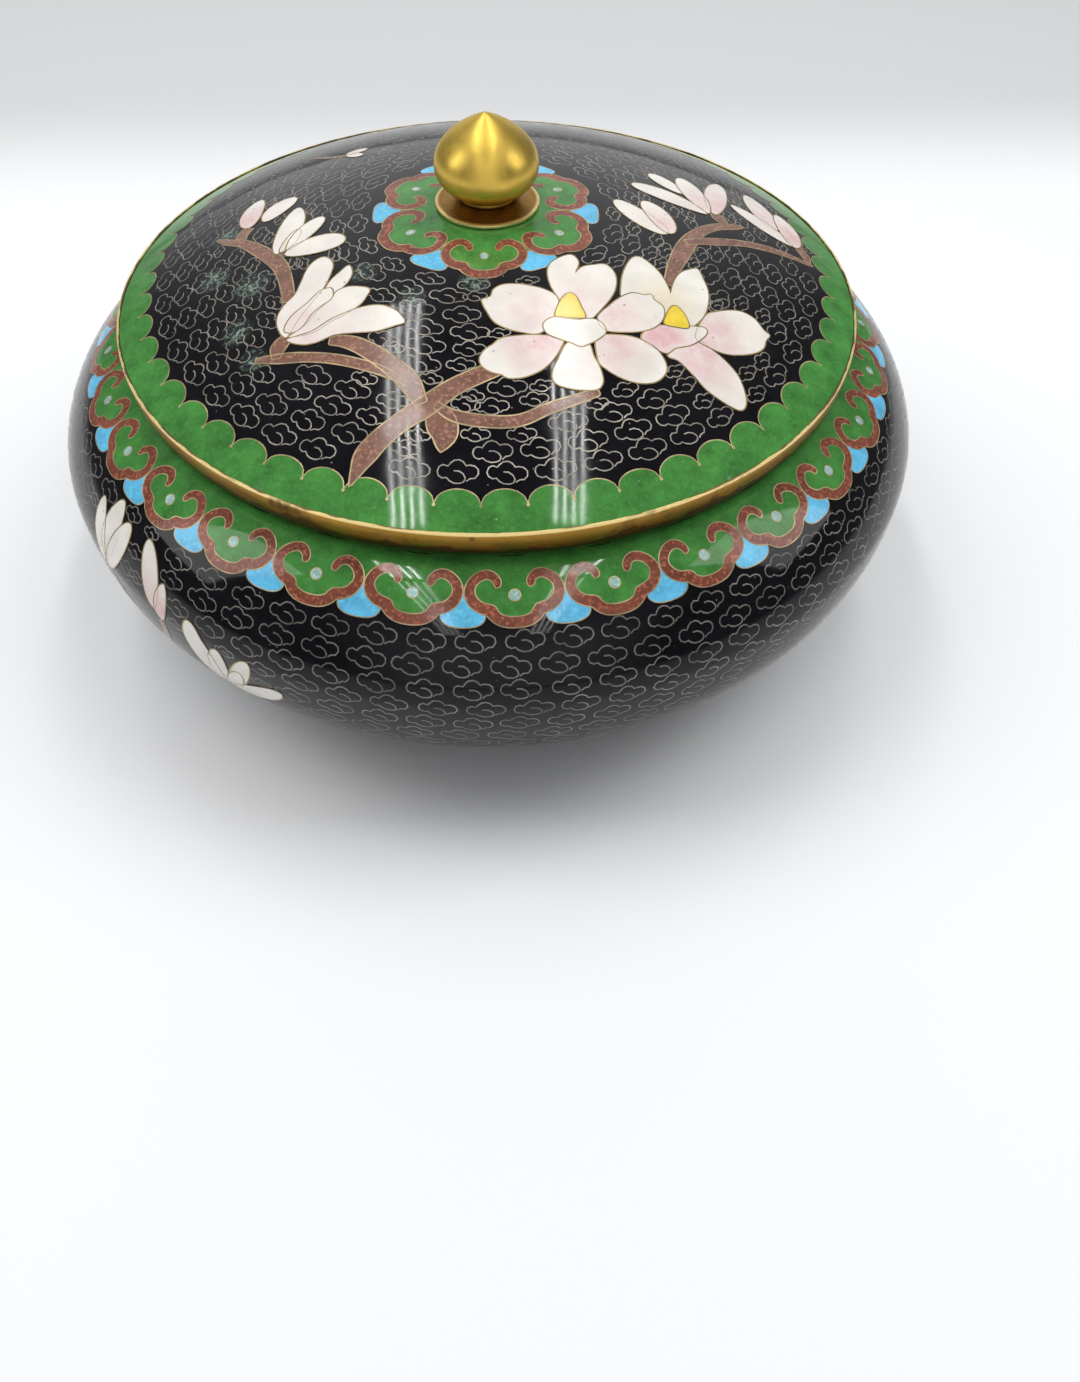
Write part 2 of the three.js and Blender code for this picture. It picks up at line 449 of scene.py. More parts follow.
def wires(paths, width, place, base, closed=False):
    """Wires along paths (B, N, 2) on enamel at the base lift: a low roof with its edges just sunk."""
    paths = paths if paths.ndim == 3 else paths[None]
    left = sideways(paths, closed) * width / 2
    crown, edge = base + WIRE_RISE, base - WIRE_SINK
    sections = np.stack([
        place(paths + left, edge), place(paths, crown), place(paths - left, edge)], 2)
    return tubes(sections, closed)


def ribbons(paths, half, place, lift, closed=False):
    """Enamel bands along paths (B, N, 2) with half-widths (N), flat on top and skirted at the sides."""
    paths = paths if paths.ndim == 3 else paths[None]
    left = sideways(paths, closed) * np.asarray(half)[..., None]
    bottom = lift - SKIRT
    sections = np.stack([
        place(paths + left, bottom), place(paths + left, lift), place(paths, lift),
        place(paths - left, lift), place(paths - left, bottom)], 2)
    return tubes(sections, closed)


def plates(outlines, centres, place, lift, rings=4, values=None):
    """Filled enamel cells: outlines (B, N, 2) shrunk towards centres (B, 2) in equal rings.

    Each cell is closed by a skirt and an underside. values, if given, maps plan points to a number.
    """
    parts = []
    lift = np.broadcast_to(lift, len(outlines))
    share = (np.arange(1, rings + 1) / rings)[:, None, None]
    for outline, centre, level in zip(outlines, centres, lift):
        plan = centre + share * (outline - centre)
        top = place(plan, level)
        skirt = place(outline, level - SKIRT)[None]
        part = list(shell(np.concatenate([top, skirt]), True, True))
        part[0][-2] = place(centre[None], level)[0]
        part[0][-1] = place(centre[None], level - SKIRT)[0]
        if values is not None:
            flat = np.concatenate([plan.reshape(-1, 2), outline, centre[None], centre[None]])
            part[3] = values(flat)
        parts.append(tuple(part))
    return join(parts)


def cut(path, marks):
    """Points of a path at shares of its length from 0 to 1."""
    distance = along(path[:, :2])
    at = np.asarray(marks) * distance[-1]
    return np.stack([np.interp(at, distance, path[:, k]) for k in range(path.shape[1])], -1)


SLAB_END = 0.004


def slab(outline, place, lift, blush=None, across=6, stations=22):
    """Filled enamel cell laid between the two sides of a closed outline, which starts at its base.

    Each side runs from the base to the point farthest from it, and rungs join the sides mark by mark.
    The marks are at shares (1 - cos a) / 2 of a side, a from 0 to a half turn, a little clear of its ends.
    blush, if given, maps plan points to the vertices' values.
    """
    ahead = np.roll(outline, -1, axis=0)
    if np.sum(outline[:, 0] * ahead[:, 1] - ahead[:, 0] * outline[:, 1]) < 0:
        outline = np.roll(outline[::-1], 1, axis=0)
    tip = int(np.argmax(np.linalg.norm(outline - outline[0], axis=1)))
    marks = SLAB_END + (1 - 2 * SLAB_END) * (1 - np.cos(np.linspace(0, np.pi, stations))) / 2
    right = cut(outline[:tip + 1], marks)
    left = cut(np.concatenate([outline[tip:], outline[:1]])[::-1], marks)
    share = np.linspace(0, 1, across + 1)[None, :, None]
    plan = left[:, None] * (1 - share) + right[:, None] * share
    ends = plan[:, [-1, 0]]
    sections = np.concatenate([place(plan, lift), place(ends, lift - SKIRT)], 1)[None]
    vertices, quads, triangles, values = tubes(sections, False)
    if blush is not None:
        values = blush(np.concatenate([plan, ends], 1).reshape(-1, 2))
    return vertices, quads, triangles, values


def smooth(points, steps, closed=False):
    """Curve through points (N, 2): on each span a cubic whose end slopes are half the chord between
    the neighbours of that end."""
    points = np.asarray(points, float)
    if closed:
        padded = np.concatenate([points[-1:], points, points[:2]])
    else:
        padded = np.concatenate([2 * points[:1] - points[1:2], points, 2 * points[-1:] - points[-2:-1]])
    t = (np.arange(steps) / steps)[None, :, None]
    a, b, c, d = (padded[k:len(padded) - 3 + k, None] for k in range(4))
    curve = 0.5 * (
        2 * b + (c - a) * t + (2 * a - 5 * b + 4 * c - d) * t ** 2 + (3 * b - a - 3 * c + d) * t ** 3)
    curve = curve.reshape(-1, points.shape[1])
    return curve if closed else np.concatenate([curve, points[-1:]])


def evenly(path, count, closed=False):
    """The path with count points at equal distances."""
    if closed:
        path = np.concatenate([path, path[:1]])
    return cut(path, np.linspace(0, 1, count, endpoint=not closed))


def polar(radius, azimuth):
    """Plan points (x, y) at a radius and an angle from +X."""
    return np.stack([radius * np.cos(azimuth), radius * np.sin(azimuth)], -1)


def circle(centre, radius, count=48):
    """Points of a circle round a centre, or of one circle round each of several centres."""
    return centre + polar(radius, np.arange(count) * TURN / count)


def green_field(plan, place):
    """Rows of a green field over rows of plan points, with a skirt below its two edges."""
    return np.concatenate([
        place(plan, FIELD), place(plan[-1:], FIELD - SKIRT), place(plan[:1], FIELD - SKIRT)])


def petal_outline(base, tip, width, base_power=0.55, tip_power=0.5, bend=0.0, count=44):
    """Outline of a petal, anticlockwise from its base.

    With u from 0 at the base to 1 at the tip, the half-width is width/2 u^p (1-u)^q over its own
    greatest value, and the axis bows to the left by 4 bend u (1-u).
    """
    base, tip = np.array(base, float), np.array(tip, float)
    turn = np.arange(count) * TURN / count
    u = (1 - np.cos(turn)) / 2
    p, q = base_power, tip_power
    greatest = p ** p * q ** q / (p + q) ** (p + q)
    half = width / 2 * u ** p * (1 - u).clip(0) ** q / greatest * np.sign(np.sin(turn).round(9))
    axis = tip - base
    right = np.array([axis[1], -axis[0]]) / np.hypot(*axis)
    bow = half - bend * 4 * u * (1 - u)
    return base + u[:, None] * axis + bow[:, None] * right


# Materials

# Scales are in features a metre, heights of bumps in metres
MOTTLE_SCALE = 200.0
GRAIN_SCALE = 1300.0
PIT_SCALE = 420.0
PETAL_PIT_SCALE = 330.0
PETAL_PATCH_SCALE = 260.0
WAVE_SCALE = 60.0
WAVE_HEIGHT = 0.0006
PIT_DEPTH = 0.00006
SCRATCH_DEPTH = 0.00002
LINES_ROUND = (60.0, 60.0, 1600.0)
LINES_DOWN = (900.0, 900.0, 60.0)


def add_node(tree, kind, inputs=None, **properties):
    """A new shader node with its properties set and its inputs given a value or linked to a socket."""
    node = tree.nodes.new("ShaderNode" + kind)
    for key, value in properties.items():
        setattr(node, key, value)
    for key, value in (inputs or {}).items():
        socket = node.inputs[key]
        if isinstance(value, bpy.types.NodeSocket):
            tree.links.new(value, socket)
        else:
            socket.default_value = value
    return node


def opaque(colour):
    """The colour with full opacity."""
    return (colour[0], colour[1], colour[2], 1.0)


def scaled(colour, factor):
    """The colour made lighter or darker, no channel over 1."""
    return tuple(min(1.0, channel * factor) for channel in colour)


def new_material(name):
    """A material with a Principled shader and the Object coordinates."""
    material = bpy.data.materials.new(name)
    material.use_nodes = True
    tree = material.node_tree
    shader = tree.nodes["Principled BSDF"]
    place = add_node(tree, "TexCoord").outputs["Object"]
    return material, tree, shader, place


def noise(tree, place, scale, detail=2.0, roughness=0.5):
    """Value noise from 0 to 1 at a scale of features per metre."""
    return add_node(tree, "TexNoise", {
        "Vector": place, "Scale": scale, "Detail": detail, "Roughness": roughness}).outputs["Fac"]


def ramp(tree, value, low, high, out_low=0.0, out_high=1.0):
    """A value taken from one range to another, clamped."""
    return add_node(tree, "MapRange", {
        "Value": value, "From Min": low, "From Max": high, "To Min": out_low,
        "To Max": out_high}).outputs["Result"]


def mix(tree, share, first, second):
    """Two colours mixed by a share, each given as a colour or a socket."""
    node = add_node(tree, "Mix", data_type="RGBA")
    for socket, value in ((node.inputs[0], share), (node.inputs[6], first), (node.inputs[7], second)):
        if isinstance(value, bpy.types.NodeSocket):
            tree.links.new(value, socket)
        elif isinstance(value, (int, float)):
            socket.default_value = value
        else:
            socket.default_value = opaque(value)
    return node.outputs[2]


def arithmetic(tree, operation, first, second):
    """A Math node on two values or sockets."""
    return add_node(tree, "Math", {0: first, 1: second}, operation=operation).outputs[0]


# Spots (x, y, radius) in mm: pale green bloom on the left of the lid, marks on the front of the band
VERDIGRIS_SPOTS = [(-47.5, -40.5, 3.4), (-51.7, -31.7, 4.2), (-50.0, -18.5, 5.0), (-59.0, -12.0, 4.6),
                   (-26.0, -22.0, 3.6), (-58.0, 4.5, 4.4), (-15.5, -31.0, 3.4), (-3.0, -27.5, 3.6)]
BAND_MARKS = [(-4.5, -82.7, 0.8), (-41.9, -71.6, 1.5), (-40.4, -72.4, 1.9), (-38.9, -73.3, 2.0),
              (-37.2, -74.1, 1.5)]
VERDIGRIS_CORE = 0.2
MARK_CORE = 0.35
MARK_DEPTH = 1.1

# Where painted light lies on the brass: painted shade on the knob's lower part, painted highlights on the
# collar's rim and the band's top, painted shade at the band's foot, and the dark seam beside the enamel.
# Each pair is the distance in mm at which it starts and at which it is full, from the ball's centre down,
# the edge in, the top down, the foot up and the dome's rim circle out
KNOB_PAINTED_SHADE = (1.2, 6.0)
COLLAR_PAINTED_HIGHLIGHT = (0.9, 0.4)
BAND_PAINTED_HIGHLIGHT = (0.6, 0.3)
BAND_SHADED = (2.4, 0.6)
SEAM = (0.3, 0.1)
SEAM_WANDER = 0.3


def near_spots(tree, place, spots, height, core):
    """Share that falls from 1 inside a core share of each spot (x, y, radius) to 0 at its radius."""
    total = None
    for x, y, radius in spots:
        spot = (x * MM, y * MM, float(height(np.hypot(x, y))) * MM)
        reach = add_node(tree, "VectorMath", {0: place, 1: spot}, operation="DISTANCE")
        share = ramp(tree, reach.outputs["Value"], radius * MM, core * radius * MM)
        total = share if total is None else arithmetic(tree, "MAXIMUM", total, share)
    return total


def verdigris_share(tree, place):
    """Share of pale green bloom: flecks inside soft spots on the left of the lid."""
    flecks = ramp(tree, noise(tree, place, 1100.0, 4.0, 0.7), 0.50, 0.62, 0.06, 0.85)
    spots = near_spots(tree, place, VERDIGRIS_SPOTS, dome_height, VERDIGRIS_CORE)
    return arithmetic(tree, "MULTIPLY", spots, flecks)


def enamel(name, colour, mottle=0.25, grain=0.12, gloss=0.13, spots=0.0, bloom=False, ior=1.45):
    """Ground and polished enamel: soft mottling, fine grain, small pits and slight waves.

    mottle is the share by which the tone varies, grain and spots the strength of the specks and pits,
    gloss the middle of the roughness, and bloom adds the verdigris.
    """
    material, tree, shader, place = new_material(name)
    clouds = ramp(tree, noise(tree, place, MOTTLE_SCALE, 5.0, 0.65), 0.32, 0.68)
    tone = mix(tree, clouds, scaled(colour, 1 - mottle), scaled(colour, 1 + mottle))
    specks = ramp(tree, noise(tree, place, GRAIN_SCALE, 2.0, 0.6), 0.52, 0.66)
    tone = mix(tree, arithmetic(tree, "MULTIPLY", specks, grain), tone, scaled(colour, 2.6))
    cells = add_node(tree, "TexVoronoi", {"Vector": place, "Scale": PIT_SCALE})
    pit = ramp(tree, cells.outputs["Distance"], 0.10, 0.04)
    keep = ramp(tree, noise(tree, place, 260.0), 0.52, 0.56)
    pit = arithmetic(tree, "MULTIPLY", pit, keep)
    tone = mix(tree, arithmetic(tree, "MULTIPLY", pit, spots), tone, settings().colours.pit)
    rough = ramp(tree, noise(tree, place, 90.0, 3.0), 0.3, 0.7, gloss * 0.7, gloss * 1.6)
    if bloom:
        share = verdigris_share(tree, place)
        tone = mix(tree, share, tone, settings().colours.verdigris)
        rough = arithmetic(tree, "ADD", rough, arithmetic(tree, "MULTIPLY", share, 0.45))
    tree.links.new(tone, shader.inputs["Base Color"])
    tree.links.new(rough, shader.inputs["Roughness"])
    waves = add_node(tree, "Bump", {
        "Height": noise(tree, place, WAVE_SCALE, 1.0), "Strength": 0.10, "Distance": WAVE_HEIGHT})
    pits = add_node(tree, "Bump", {
        "Height": pit, "Strength": 0.5, "Distance": PIT_DEPTH, "Normal": waves.outputs["Normal"]},
        invert=True)
    tree.links.new(pits.outputs["Normal"], shader.inputs["Normal"])
    shader.inputs["IOR"].default_value = ior
    return material


def petal_enamel(name):
    """Cream enamel that turns pink with the blush attribute, and golden where it is below zero."""
    colours = settings().colours
    material, tree, shader, place = new_material(name)
    blush = add_node(tree, "Attribute", attribute_name="blush").outputs["Fac"]
    patch = ramp(tree, noise(tree, place, PETAL_PATCH_SCALE, 4.0, 0.6), 0.3, 0.7, 0.45, 1.45)
    share = arithmetic(tree, "MULTIPLY", blush, patch)
    shade = mix(tree, ramp(tree, noise(tree, place, 160.0), 0.35, 0.65), scaled(colours.cream, 0.93),
                scaled(colours.cream, 1.05))
    tone = mix(tree, ramp(tree, share, 0.0, 1.0), shade, colours.pink)
    tone = mix(tree, ramp(tree, blush, -0.1, -1.0), tone, colours.petal_gold)
    cells = add_node(tree, "TexVoronoi", {"Vector": place, "Scale": PETAL_PIT_SCALE})
    pit = ramp(tree, cells.outputs["Distance"], 0.12, 0.05)
    pit = arithmetic(tree, "MULTIPLY", pit, ramp(tree, noise(tree, place, 150.0), 0.52, 0.57))
    tone = mix(tree, arithmetic(tree, "MULTIPLY", pit, 0.75), tone, colours.petal_pit)
    tree.links.new(tone, shader.inputs["Base Color"])
    rough = ramp(tree, noise(tree, place, 200.0, 3.0), 0.3, 0.7, 0.12, 0.30)
    tree.links.new(rough, shader.inputs["Roughness"])
    bump = add_node(tree, "Bump", {"Height": pit, "Strength": 0.5, "Distance": PIT_DEPTH},
                    invert=True)
    tree.links.new(bump.outputs["Normal"], shader.inputs["Normal"])
    return material


def wire_metal(name, colour, bloom=False):
    """Flat wire ground flush with the enamel: dull gilt with darker, redder stretches."""
    material, tree, shader, place = new_material(name)
    stretch = ramp(tree, noise(tree, place, 220.0, 3.0), 0.35, 0.65)
    tone = mix(tree, stretch, scaled(colour, 0.62), scaled(colour, 1.25))
    rough = ramp(tree, noise(tree, place, 400.0), 0.3, 0.7, 0.28, 0.5)
    if bloom:
        tone = mix(tree, verdigris_share(tree, place), tone, settings().colours.verdigris)
    tree.links.new(tone, shader.inputs["Base Color"])
    tree.links.new(rough, shader.inputs["Roughness"])
    shader.inputs["Metallic"].default_value = 0.5
    return material


def brass_painted_light_and_marks(tree, place, tone, blot, part):
    """Tone, stains and painted light of the knob, its collar or the lid's band, the last two with a
    painted highlight along the edge.

    The knob's lower third is darkened to brown as painted shade, where it mirrors the dark lid. The
    band has painted shade at its foot, a dark uneven line beside the enamel and a few marks of its own.
    """
    colours = settings().colours
    height = add_node(tree, "SeparateXYZ", {0: place}).outputs["Z"]
    if part == "knob":
        # Painted shade: the knob darkens below its middle, standing in for the dark lid that it mirrors
        start, full = ((settings().brass.ball_centre - drop) * MM for drop in KNOB_PAINTED_SHADE)
        return mix(tree, ramp(tree, height, start, full, 0.0, 0.75), tone, colours.knob_painted_shade), blot
    flat = add_node(tree, "VectorMath", {0: place, 1: (1.0, 1.0, 0.0)}, operation="MULTIPLY")
    across = add_node(
        tree, "VectorMath", {0: flat.outputs["Vector"]}, operation="LENGTH").outputs["Value"]
    if part == "collar":
        # Painted highlight: a bright ring round the collar's rim
        start, full = ((COLLAR_HIGH[0] - inset) * MM for inset in COLLAR_PAINTED_HIGHLIGHT)
        return mix(tree, ramp(tree, across, start, full), tone, colours.painted_highlight), blot
    # Painted highlight: a bright line along the band's top edge
    start, full = ((BAND_HIGH[2] - drop) * MM for drop in BAND_PAINTED_HIGHLIGHT)
    tone = mix(tree, ramp(tree, height, start, full), tone, colours.painted_highlight)
    start, full = ((BAND_LOW[2] + rise) * MM for rise in BAND_SHADED)
    tone = mix(tree, ramp(tree, height, start, full), tone, colours.band_shade)
    wander = ramp(tree, noise(tree, place, 130.0, 3.0), 0.35, 0.65, SEAM_WANDER * MM, -SEAM_WANDER * MM)
    start, full = ((settings().form.lid_radius + reach) * MM for reach in SEAM)
    beside = ramp(tree, arithmetic(tree, "ADD", across, wander), start, full)
    marks = near_spots(tree, place, BAND_MARKS, lambda _: BAND_HIGH[2] - MARK_DEPTH, MARK_CORE)
    uneven = ramp(tree, noise(tree, place, 900.0, 3.0), 0.3, 0.6, 0.45, 0.85)
    blot = arithmetic(tree, "MAXIMUM", blot, arithmetic(tree, "MULTIPLY", marks, uneven))
    return tone, arithmetic(tree, "MAXIMUM", blot, arithmetic(tree, "MULTIPLY", beside, 0.85))


def turned_brass(name, colour, stretch, stain=0.0, part=None, satin=(0.27, 0.38)):
    """Satin brass with fine polishing lines, handling stains and a slow change of tone.

    The lines are noise pressed together by the stretch, a scale for each axis, and satin is the range of
    the roughness.
    """
    material, tree, shader, place = new_material(name)
    lines = add_node(tree, "Mapping", {"Vector": place, "Scale": stretch})
    scratch = noise(tree, lines.outputs["Vector"], 1.0, 3.0, 0.6)
    tone = mix(tree, ramp(tree, noise(tree, place, 70.0, 3.0), 0.3, 0.7), scaled(colour, 0.82),
               scaled(colour, 1.12))
    blot = ramp(tree, noise(tree, place, 160.0, 4.0, 0.65), 0.56, 0.68, 0.0, stain)
    if part:
        tone, blot = brass_painted_light_and_marks(tree, place, tone, blot, part)
    tone = mix(tree, blot, tone, settings().colours.stain)
    tree.links.new(tone, shader.inputs["Base Color"])
    rough = ramp(tree, scratch, 0.35, 0.65, *satin)
    rough = arithmetic(tree, "ADD", rough, arithmetic(tree, "MULTIPLY", blot, 0.15))
    tree.links.new(rough, shader.inputs["Roughness"])
    bump = add_node(tree, "Bump", {"Height": scratch, "Strength": 0.10, "Distance": SCRATCH_DEPTH})
    tree.links.new(bump.outputs["Normal"], shader.inputs["Normal"])
    shader.inputs["Metallic"].default_value = 0.92
    return material


def named_finish(name):
    """The material of that name, made once."""
    found = bpy.data.materials.get(name)
    if found:
        return found
    c = settings().colours
    makers = {
        "black_enamel_lid": lambda: enamel(
            name, c.black, mottle=0.45, grain=0.04, gloss=0.055, spots=0.5, bloom=True, ior=1.40),
        "black_enamel_bowl": lambda: enamel(
            name, c.black, mottle=0.45, grain=0.04, gloss=0.055, spots=0.4, ior=1.34),
        "green_enamel": lambda: enamel(name, c.green, mottle=0.30, grain=0.14, gloss=0.05, spots=0.35),
        "brown_enamel": lambda: enamel(name, c.brown, mottle=0.30, grain=0.80, gloss=0.12, spots=0.25),
        "bark_enamel": lambda: enamel(
            name, c.bark, mottle=0.28, grain=0.60, gloss=0.12, spots=0.3, bloom=True),
        "blue_enamel": lambda: enamel(name, c.blue, mottle=0.20, grain=0.25, gloss=0.08, spots=0.1),
        "dot_enamel": lambda: enamel(name, c.dot, mottle=0.30, grain=0.4, gloss=0.08, spots=0.1),
        "yellow_enamel": lambda: enamel(name, c.yellow, mottle=0.12, grain=0.08, gloss=0.10, spots=0.1),
        "turquoise_enamel": lambda: enamel(
            name, c.turquoise, mottle=0.20, grain=0.10, gloss=0.16, spots=0.3),
        "petal_enamel": lambda: petal_enamel(name),
        # The lid's cloud wires are the lit copy, painted light for the lid that faces the lamps; the bowl's
        # are the shaded copy
        "cloud_wire_lid_lit": lambda: wire_metal(name, c.lid_wire_lit, bloom=True),
        "cloud_wire": lambda: wire_metal(name, c.wire),
        "gilt_wire": lambda: wire_metal(name, c.gilt_wire),
        "petal_wire": lambda: wire_metal(name, c.petal_wire),
        "ring_brass": lambda: turned_brass(name, c.brass, LINES_ROUND, stain=0.5),
        "band_brass": lambda: turned_brass(name, c.brass, LINES_ROUND, stain=0.45, part="band"),
        "collar_brass": lambda: turned_brass(name, c.brass, LINES_ROUND, stain=0.2, part="collar"),
        "knob_brass": lambda: turned_brass(
            name, c.knob, LINES_DOWN, stain=0.06, part="knob", satin=(0.33, 0.42)),
    }
    return makers[name]()


def make_piece(name, part, finish, replaces=(), attribute=None):
    """A mesh object in the frame from a mesh part in millimetres, riding on the bowl's one body."""
    vertices, quads, triangles, values = part
    mesh = bpy.data.meshes.new(name)
    mesh.vertices.add(len(vertices))
    mesh.vertices.foreach_set("co", (vertices * MM).astype(np.float32).ravel())
    corners = np.concatenate([quads.ravel(), triangles.ravel()]).astype(np.int32)
    mesh.loops.add(len(corners))
    mesh.loops.foreach_set("vertex_index", corners)
    starts = np.concatenate([
        np.arange(len(quads)) * 4, 4 * len(quads) + np.arange(len(triangles)) * 3]).astype(np.int32)
    mesh.polygons.add(len(starts))
    mesh.polygons.foreach_set("loop_start", starts)
    mesh.update(calc_edges=True)
    if mesh.validate():
        raise RuntimeError(f"{name} has faces that are not valid")
    if attribute:
        layer = mesh.attributes.new(attribute, "FLOAT", "POINT")
        layer.data.foreach_set("value", values.astype(np.float32))
    mesh.shade_smooth()
    mesh.set_sharp_from_angle(angle=SHARP_ANGLE)
    mesh.materials.append(named_finish(finish))
    piece = new_object(name, mesh)
    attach(piece, BODY)
    if replaces:
        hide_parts(*replaces)
    return piece


# Vessel shells, mm: the inner curves start below the mouth, so that they don't fold over it

INNER_START = 4.2
LINING_GAP = 0.05
BASE_ENAMEL = 1.0
DISC_SHARE = 0.99


def bowl_wall(lift, mouth_inset, count):
    """(radius, height) points of the bowl's curve moved by the lift, from the mouth to the base."""
    distance, radius, height, normal_r, normal_z = bowl_curve()
    form = settings().form
    start = INNER_START if lift < -form.bowl_wall / 4 else 0.0
    marks = np.linspace(start, distance[-1], count)
    wall = np.stack([
        np.interp(marks, distance, radius) + lift * np.interp(marks, distance, normal_r),
        np.interp(marks, distance, height) + lift * np.interp(marks, distance, normal_z),
    ], -1)
    mouth = np.array([[form.neck_radius - mouth_inset, NECK_HEIGHT + GROUND]])
    return np.concatenate([mouth, wall])


def build_bowl_shells():
    """The black outer half of the wall, the turquoise inner half and the enamel under the base."""
    form = settings().form
    middle = form.bowl_wall / 2
    outer = bowl_wall(GROUND, middle, 110)
    halfway = bowl_wall(-middle, middle, 60)
    make_piece("bowl_black_enamel", turned(np.concatenate([outer, halfway[::-1]]), GROUND_COLUMNS),
               "black_enamel_bowl", ["bowl_body"])
    inside = bowl_wall(-form.bowl_wall, form.bowl_wall, 60)
    across = np.linspace(0, 1, 16)[:-1]
    floor = np.stack([
        form.base_radius * across,
        BASE_HEIGHT + form.bowl_wall + form.base_rise * (1 - across ** 2)], -1)
    under = floor - (0, middle)
    back = bowl_wall(-middle - LINING_GAP, middle + LINING_GAP, 60)
    lining = np.concatenate([floor, inside[::-1], back, under[::-1]])
    make_piece("bowl_turquoise_lining", turned(lining, LINING_COLUMNS, True, True),
               "turquoise_enamel")
    radius = form.base_radius * np.linspace(0, DISC_SHARE, 16)
    height = BASE_HEIGHT + form.base_rise * (1 - (radius / form.base_radius) ** 2)
    bottom = np.stack([radius, height], -1)
    disc = np.concatenate([bottom + (0, BASE_ENAMEL), bottom[::-1]])
    make_piece("bowl_base_enamel", turned(disc, BASE_COLUMNS, True, True),
               "turquoise_enamel")


def build_lid_shells():
    """The black outer half of the dome and its turquoise lining."""
    form = settings().form
    radius = LID_EDGE * np.linspace(0, 1, 90)
    middle = form.lid_wall / 2
    outer = np.stack([radius, dome_height(radius, GROUND)], -1)
    inner = np.stack([radius, dome_height(radius, -middle)], -1)[::-1]
    make_piece("lid_black_enamel", turned(np.concatenate([outer, inner]), GROUND_COLUMNS, True, True),
               "black_enamel_lid", ["lid_shell"])
    upper = np.stack([radius, dome_height(radius, -middle - LINING_GAP)], -1)
    lower = np.stack([radius, dome_height(radius, -form.lid_wall)], -1)[::-1]
    make_piece("lid_turquoise_lining", turned(np.concatenate([upper, lower]), LINING_COLUMNS, True, True),
               "turquoise_enamel")


# Brass: eased edges and small steps, mm. Pairs are (out, up) from a named corner

FOOT_EASE = 0.4
FOOT_FACE = 0.6
FOOT_TAPER_START = (-0.35, 1.6)
MOUTH_EASE = 0.25
BAND_EASE = 0.35
BAND_TOP_INSET = 0.1
BAND_TOP_EASE = 0.01
BAND_FOOT_INSET = 0.3
BULGE_INSET = 0.2
COLLAR_LIP = 0.8
DISH_LIP = 0.75
DISH_ROLL = (0.35, 0.12)
COLLAR_RIM = [(-0.35, 0.02), (-0.08, -0.08), (0.0, -0.25), (-0.02, -0.45)]
COLLAR_BED_SHARE = 0.9
COLLAR_BED_DROP = 0.22
KNOB_RING_HEIGHT = 0.7
KNOB_RING_TOP = [(-0.35, 0.0), (-0.1, -0.05), (0.0, -0.2)]
KNOB_RING_FOOT = [(0.0, 0.15), (-0.1, 0.0)]


def rounded(points, radius, steps=4):
    """A closed profile with each corner cut back by the radius and turned by a quadratic curve."""
    points = np.asarray(points, float)
    before, after = np.roll(points, 1, axis=0), np.roll(points, -1, axis=0)

    def inset(other):
        """Points on the way from each corner to the other one, the radius along."""
        way = other - points
        size = np.linalg.norm(way, axis=1, keepdims=True)
        return points + way / size * np.minimum(radius, 0.45 * size)

    start, end = inset(before)[:, None], inset(after)[:, None]
    t = np.linspace(0, 1, steps + 1)[None, :, None]
    corner = points[:, None]
    return ((1 - t) ** 2 * start + 2 * t * (1 - t) * corner + t ** 2 * end).reshape(-1, 2)


def build_rings():
    """Foot ring, mouth ring and lid band, each turned from a closed profile with eased edges."""
    form, brass = settings().form, settings().brass
    outer, top = FOOT_HIGH[0], FOOT_HIGH[2]
    inner = outer - brass.foot_wall
    foot = [(inner, top), (outer - brass.foot_taper, top), (outer + FOOT_TAPER_START[0], FOOT_TAPER_START[1]),
            (outer, FOOT_FACE), (outer, 0.0), (inner, 0.0)]
    make_piece("foot_ring_brass", turned(rounded(foot, FOOT_EASE), RING_COLUMNS), "ring_brass",
               ["foot_ring"])
    seat = MOUTH_HIGH[2] - brass.lip_rise
    lip = brass.lip_inner + brass.lip_thickness
    mouth = [(brass.lip_inner, MOUTH_HIGH[2]), (lip, MOUTH_HIGH[2]), (lip, seat), (MOUTH_HIGH[0], seat),
             (MOUTH_HIGH[0], MOUTH_LOW[2]), (brass.lip_inner, MOUTH_LOW[2])]
    make_piece("mouth_ring_brass", turned(rounded(mouth, MOUTH_EASE), RING_COLUMNS), "ring_brass",
               ["mouth_ring"])
    t = np.linspace(1, 0, 9)
    bottom, top = BAND_LOW[2], BAND_HIGH[2]
    swell = brass.band_bulge * (4 * t * (1 - t) - BULGE_INSET)
    face_radius = brass.band_bottom + (BAND_HIGH[0] - brass.band_bottom) * t + swell
    face = np.stack([face_radius, bottom + BAND_EASE + (top - bottom - 2 * BAND_EASE) * t], -1)
    ledge = float(dome_height(form.lid_radius - CLEARANCE, -form.lid_wall)) - CLEARANCE
    profile = np.concatenate([
        rounded([(form.lid_radius, top), (BAND_HIGH[0] - BAND_TOP_INSET, top)], BAND_TOP_EASE, 1),
        face,
        [(brass.band_bottom - BAND_FOOT_INSET, bottom), (brass.band_inner, bottom),
         (brass.band_inner, ledge), (form.lid_radius, ledge)]])
    make_piece("lid_band_brass", turned(profile, BAND_COLUMNS), "band_brass", ["lid_rim"])


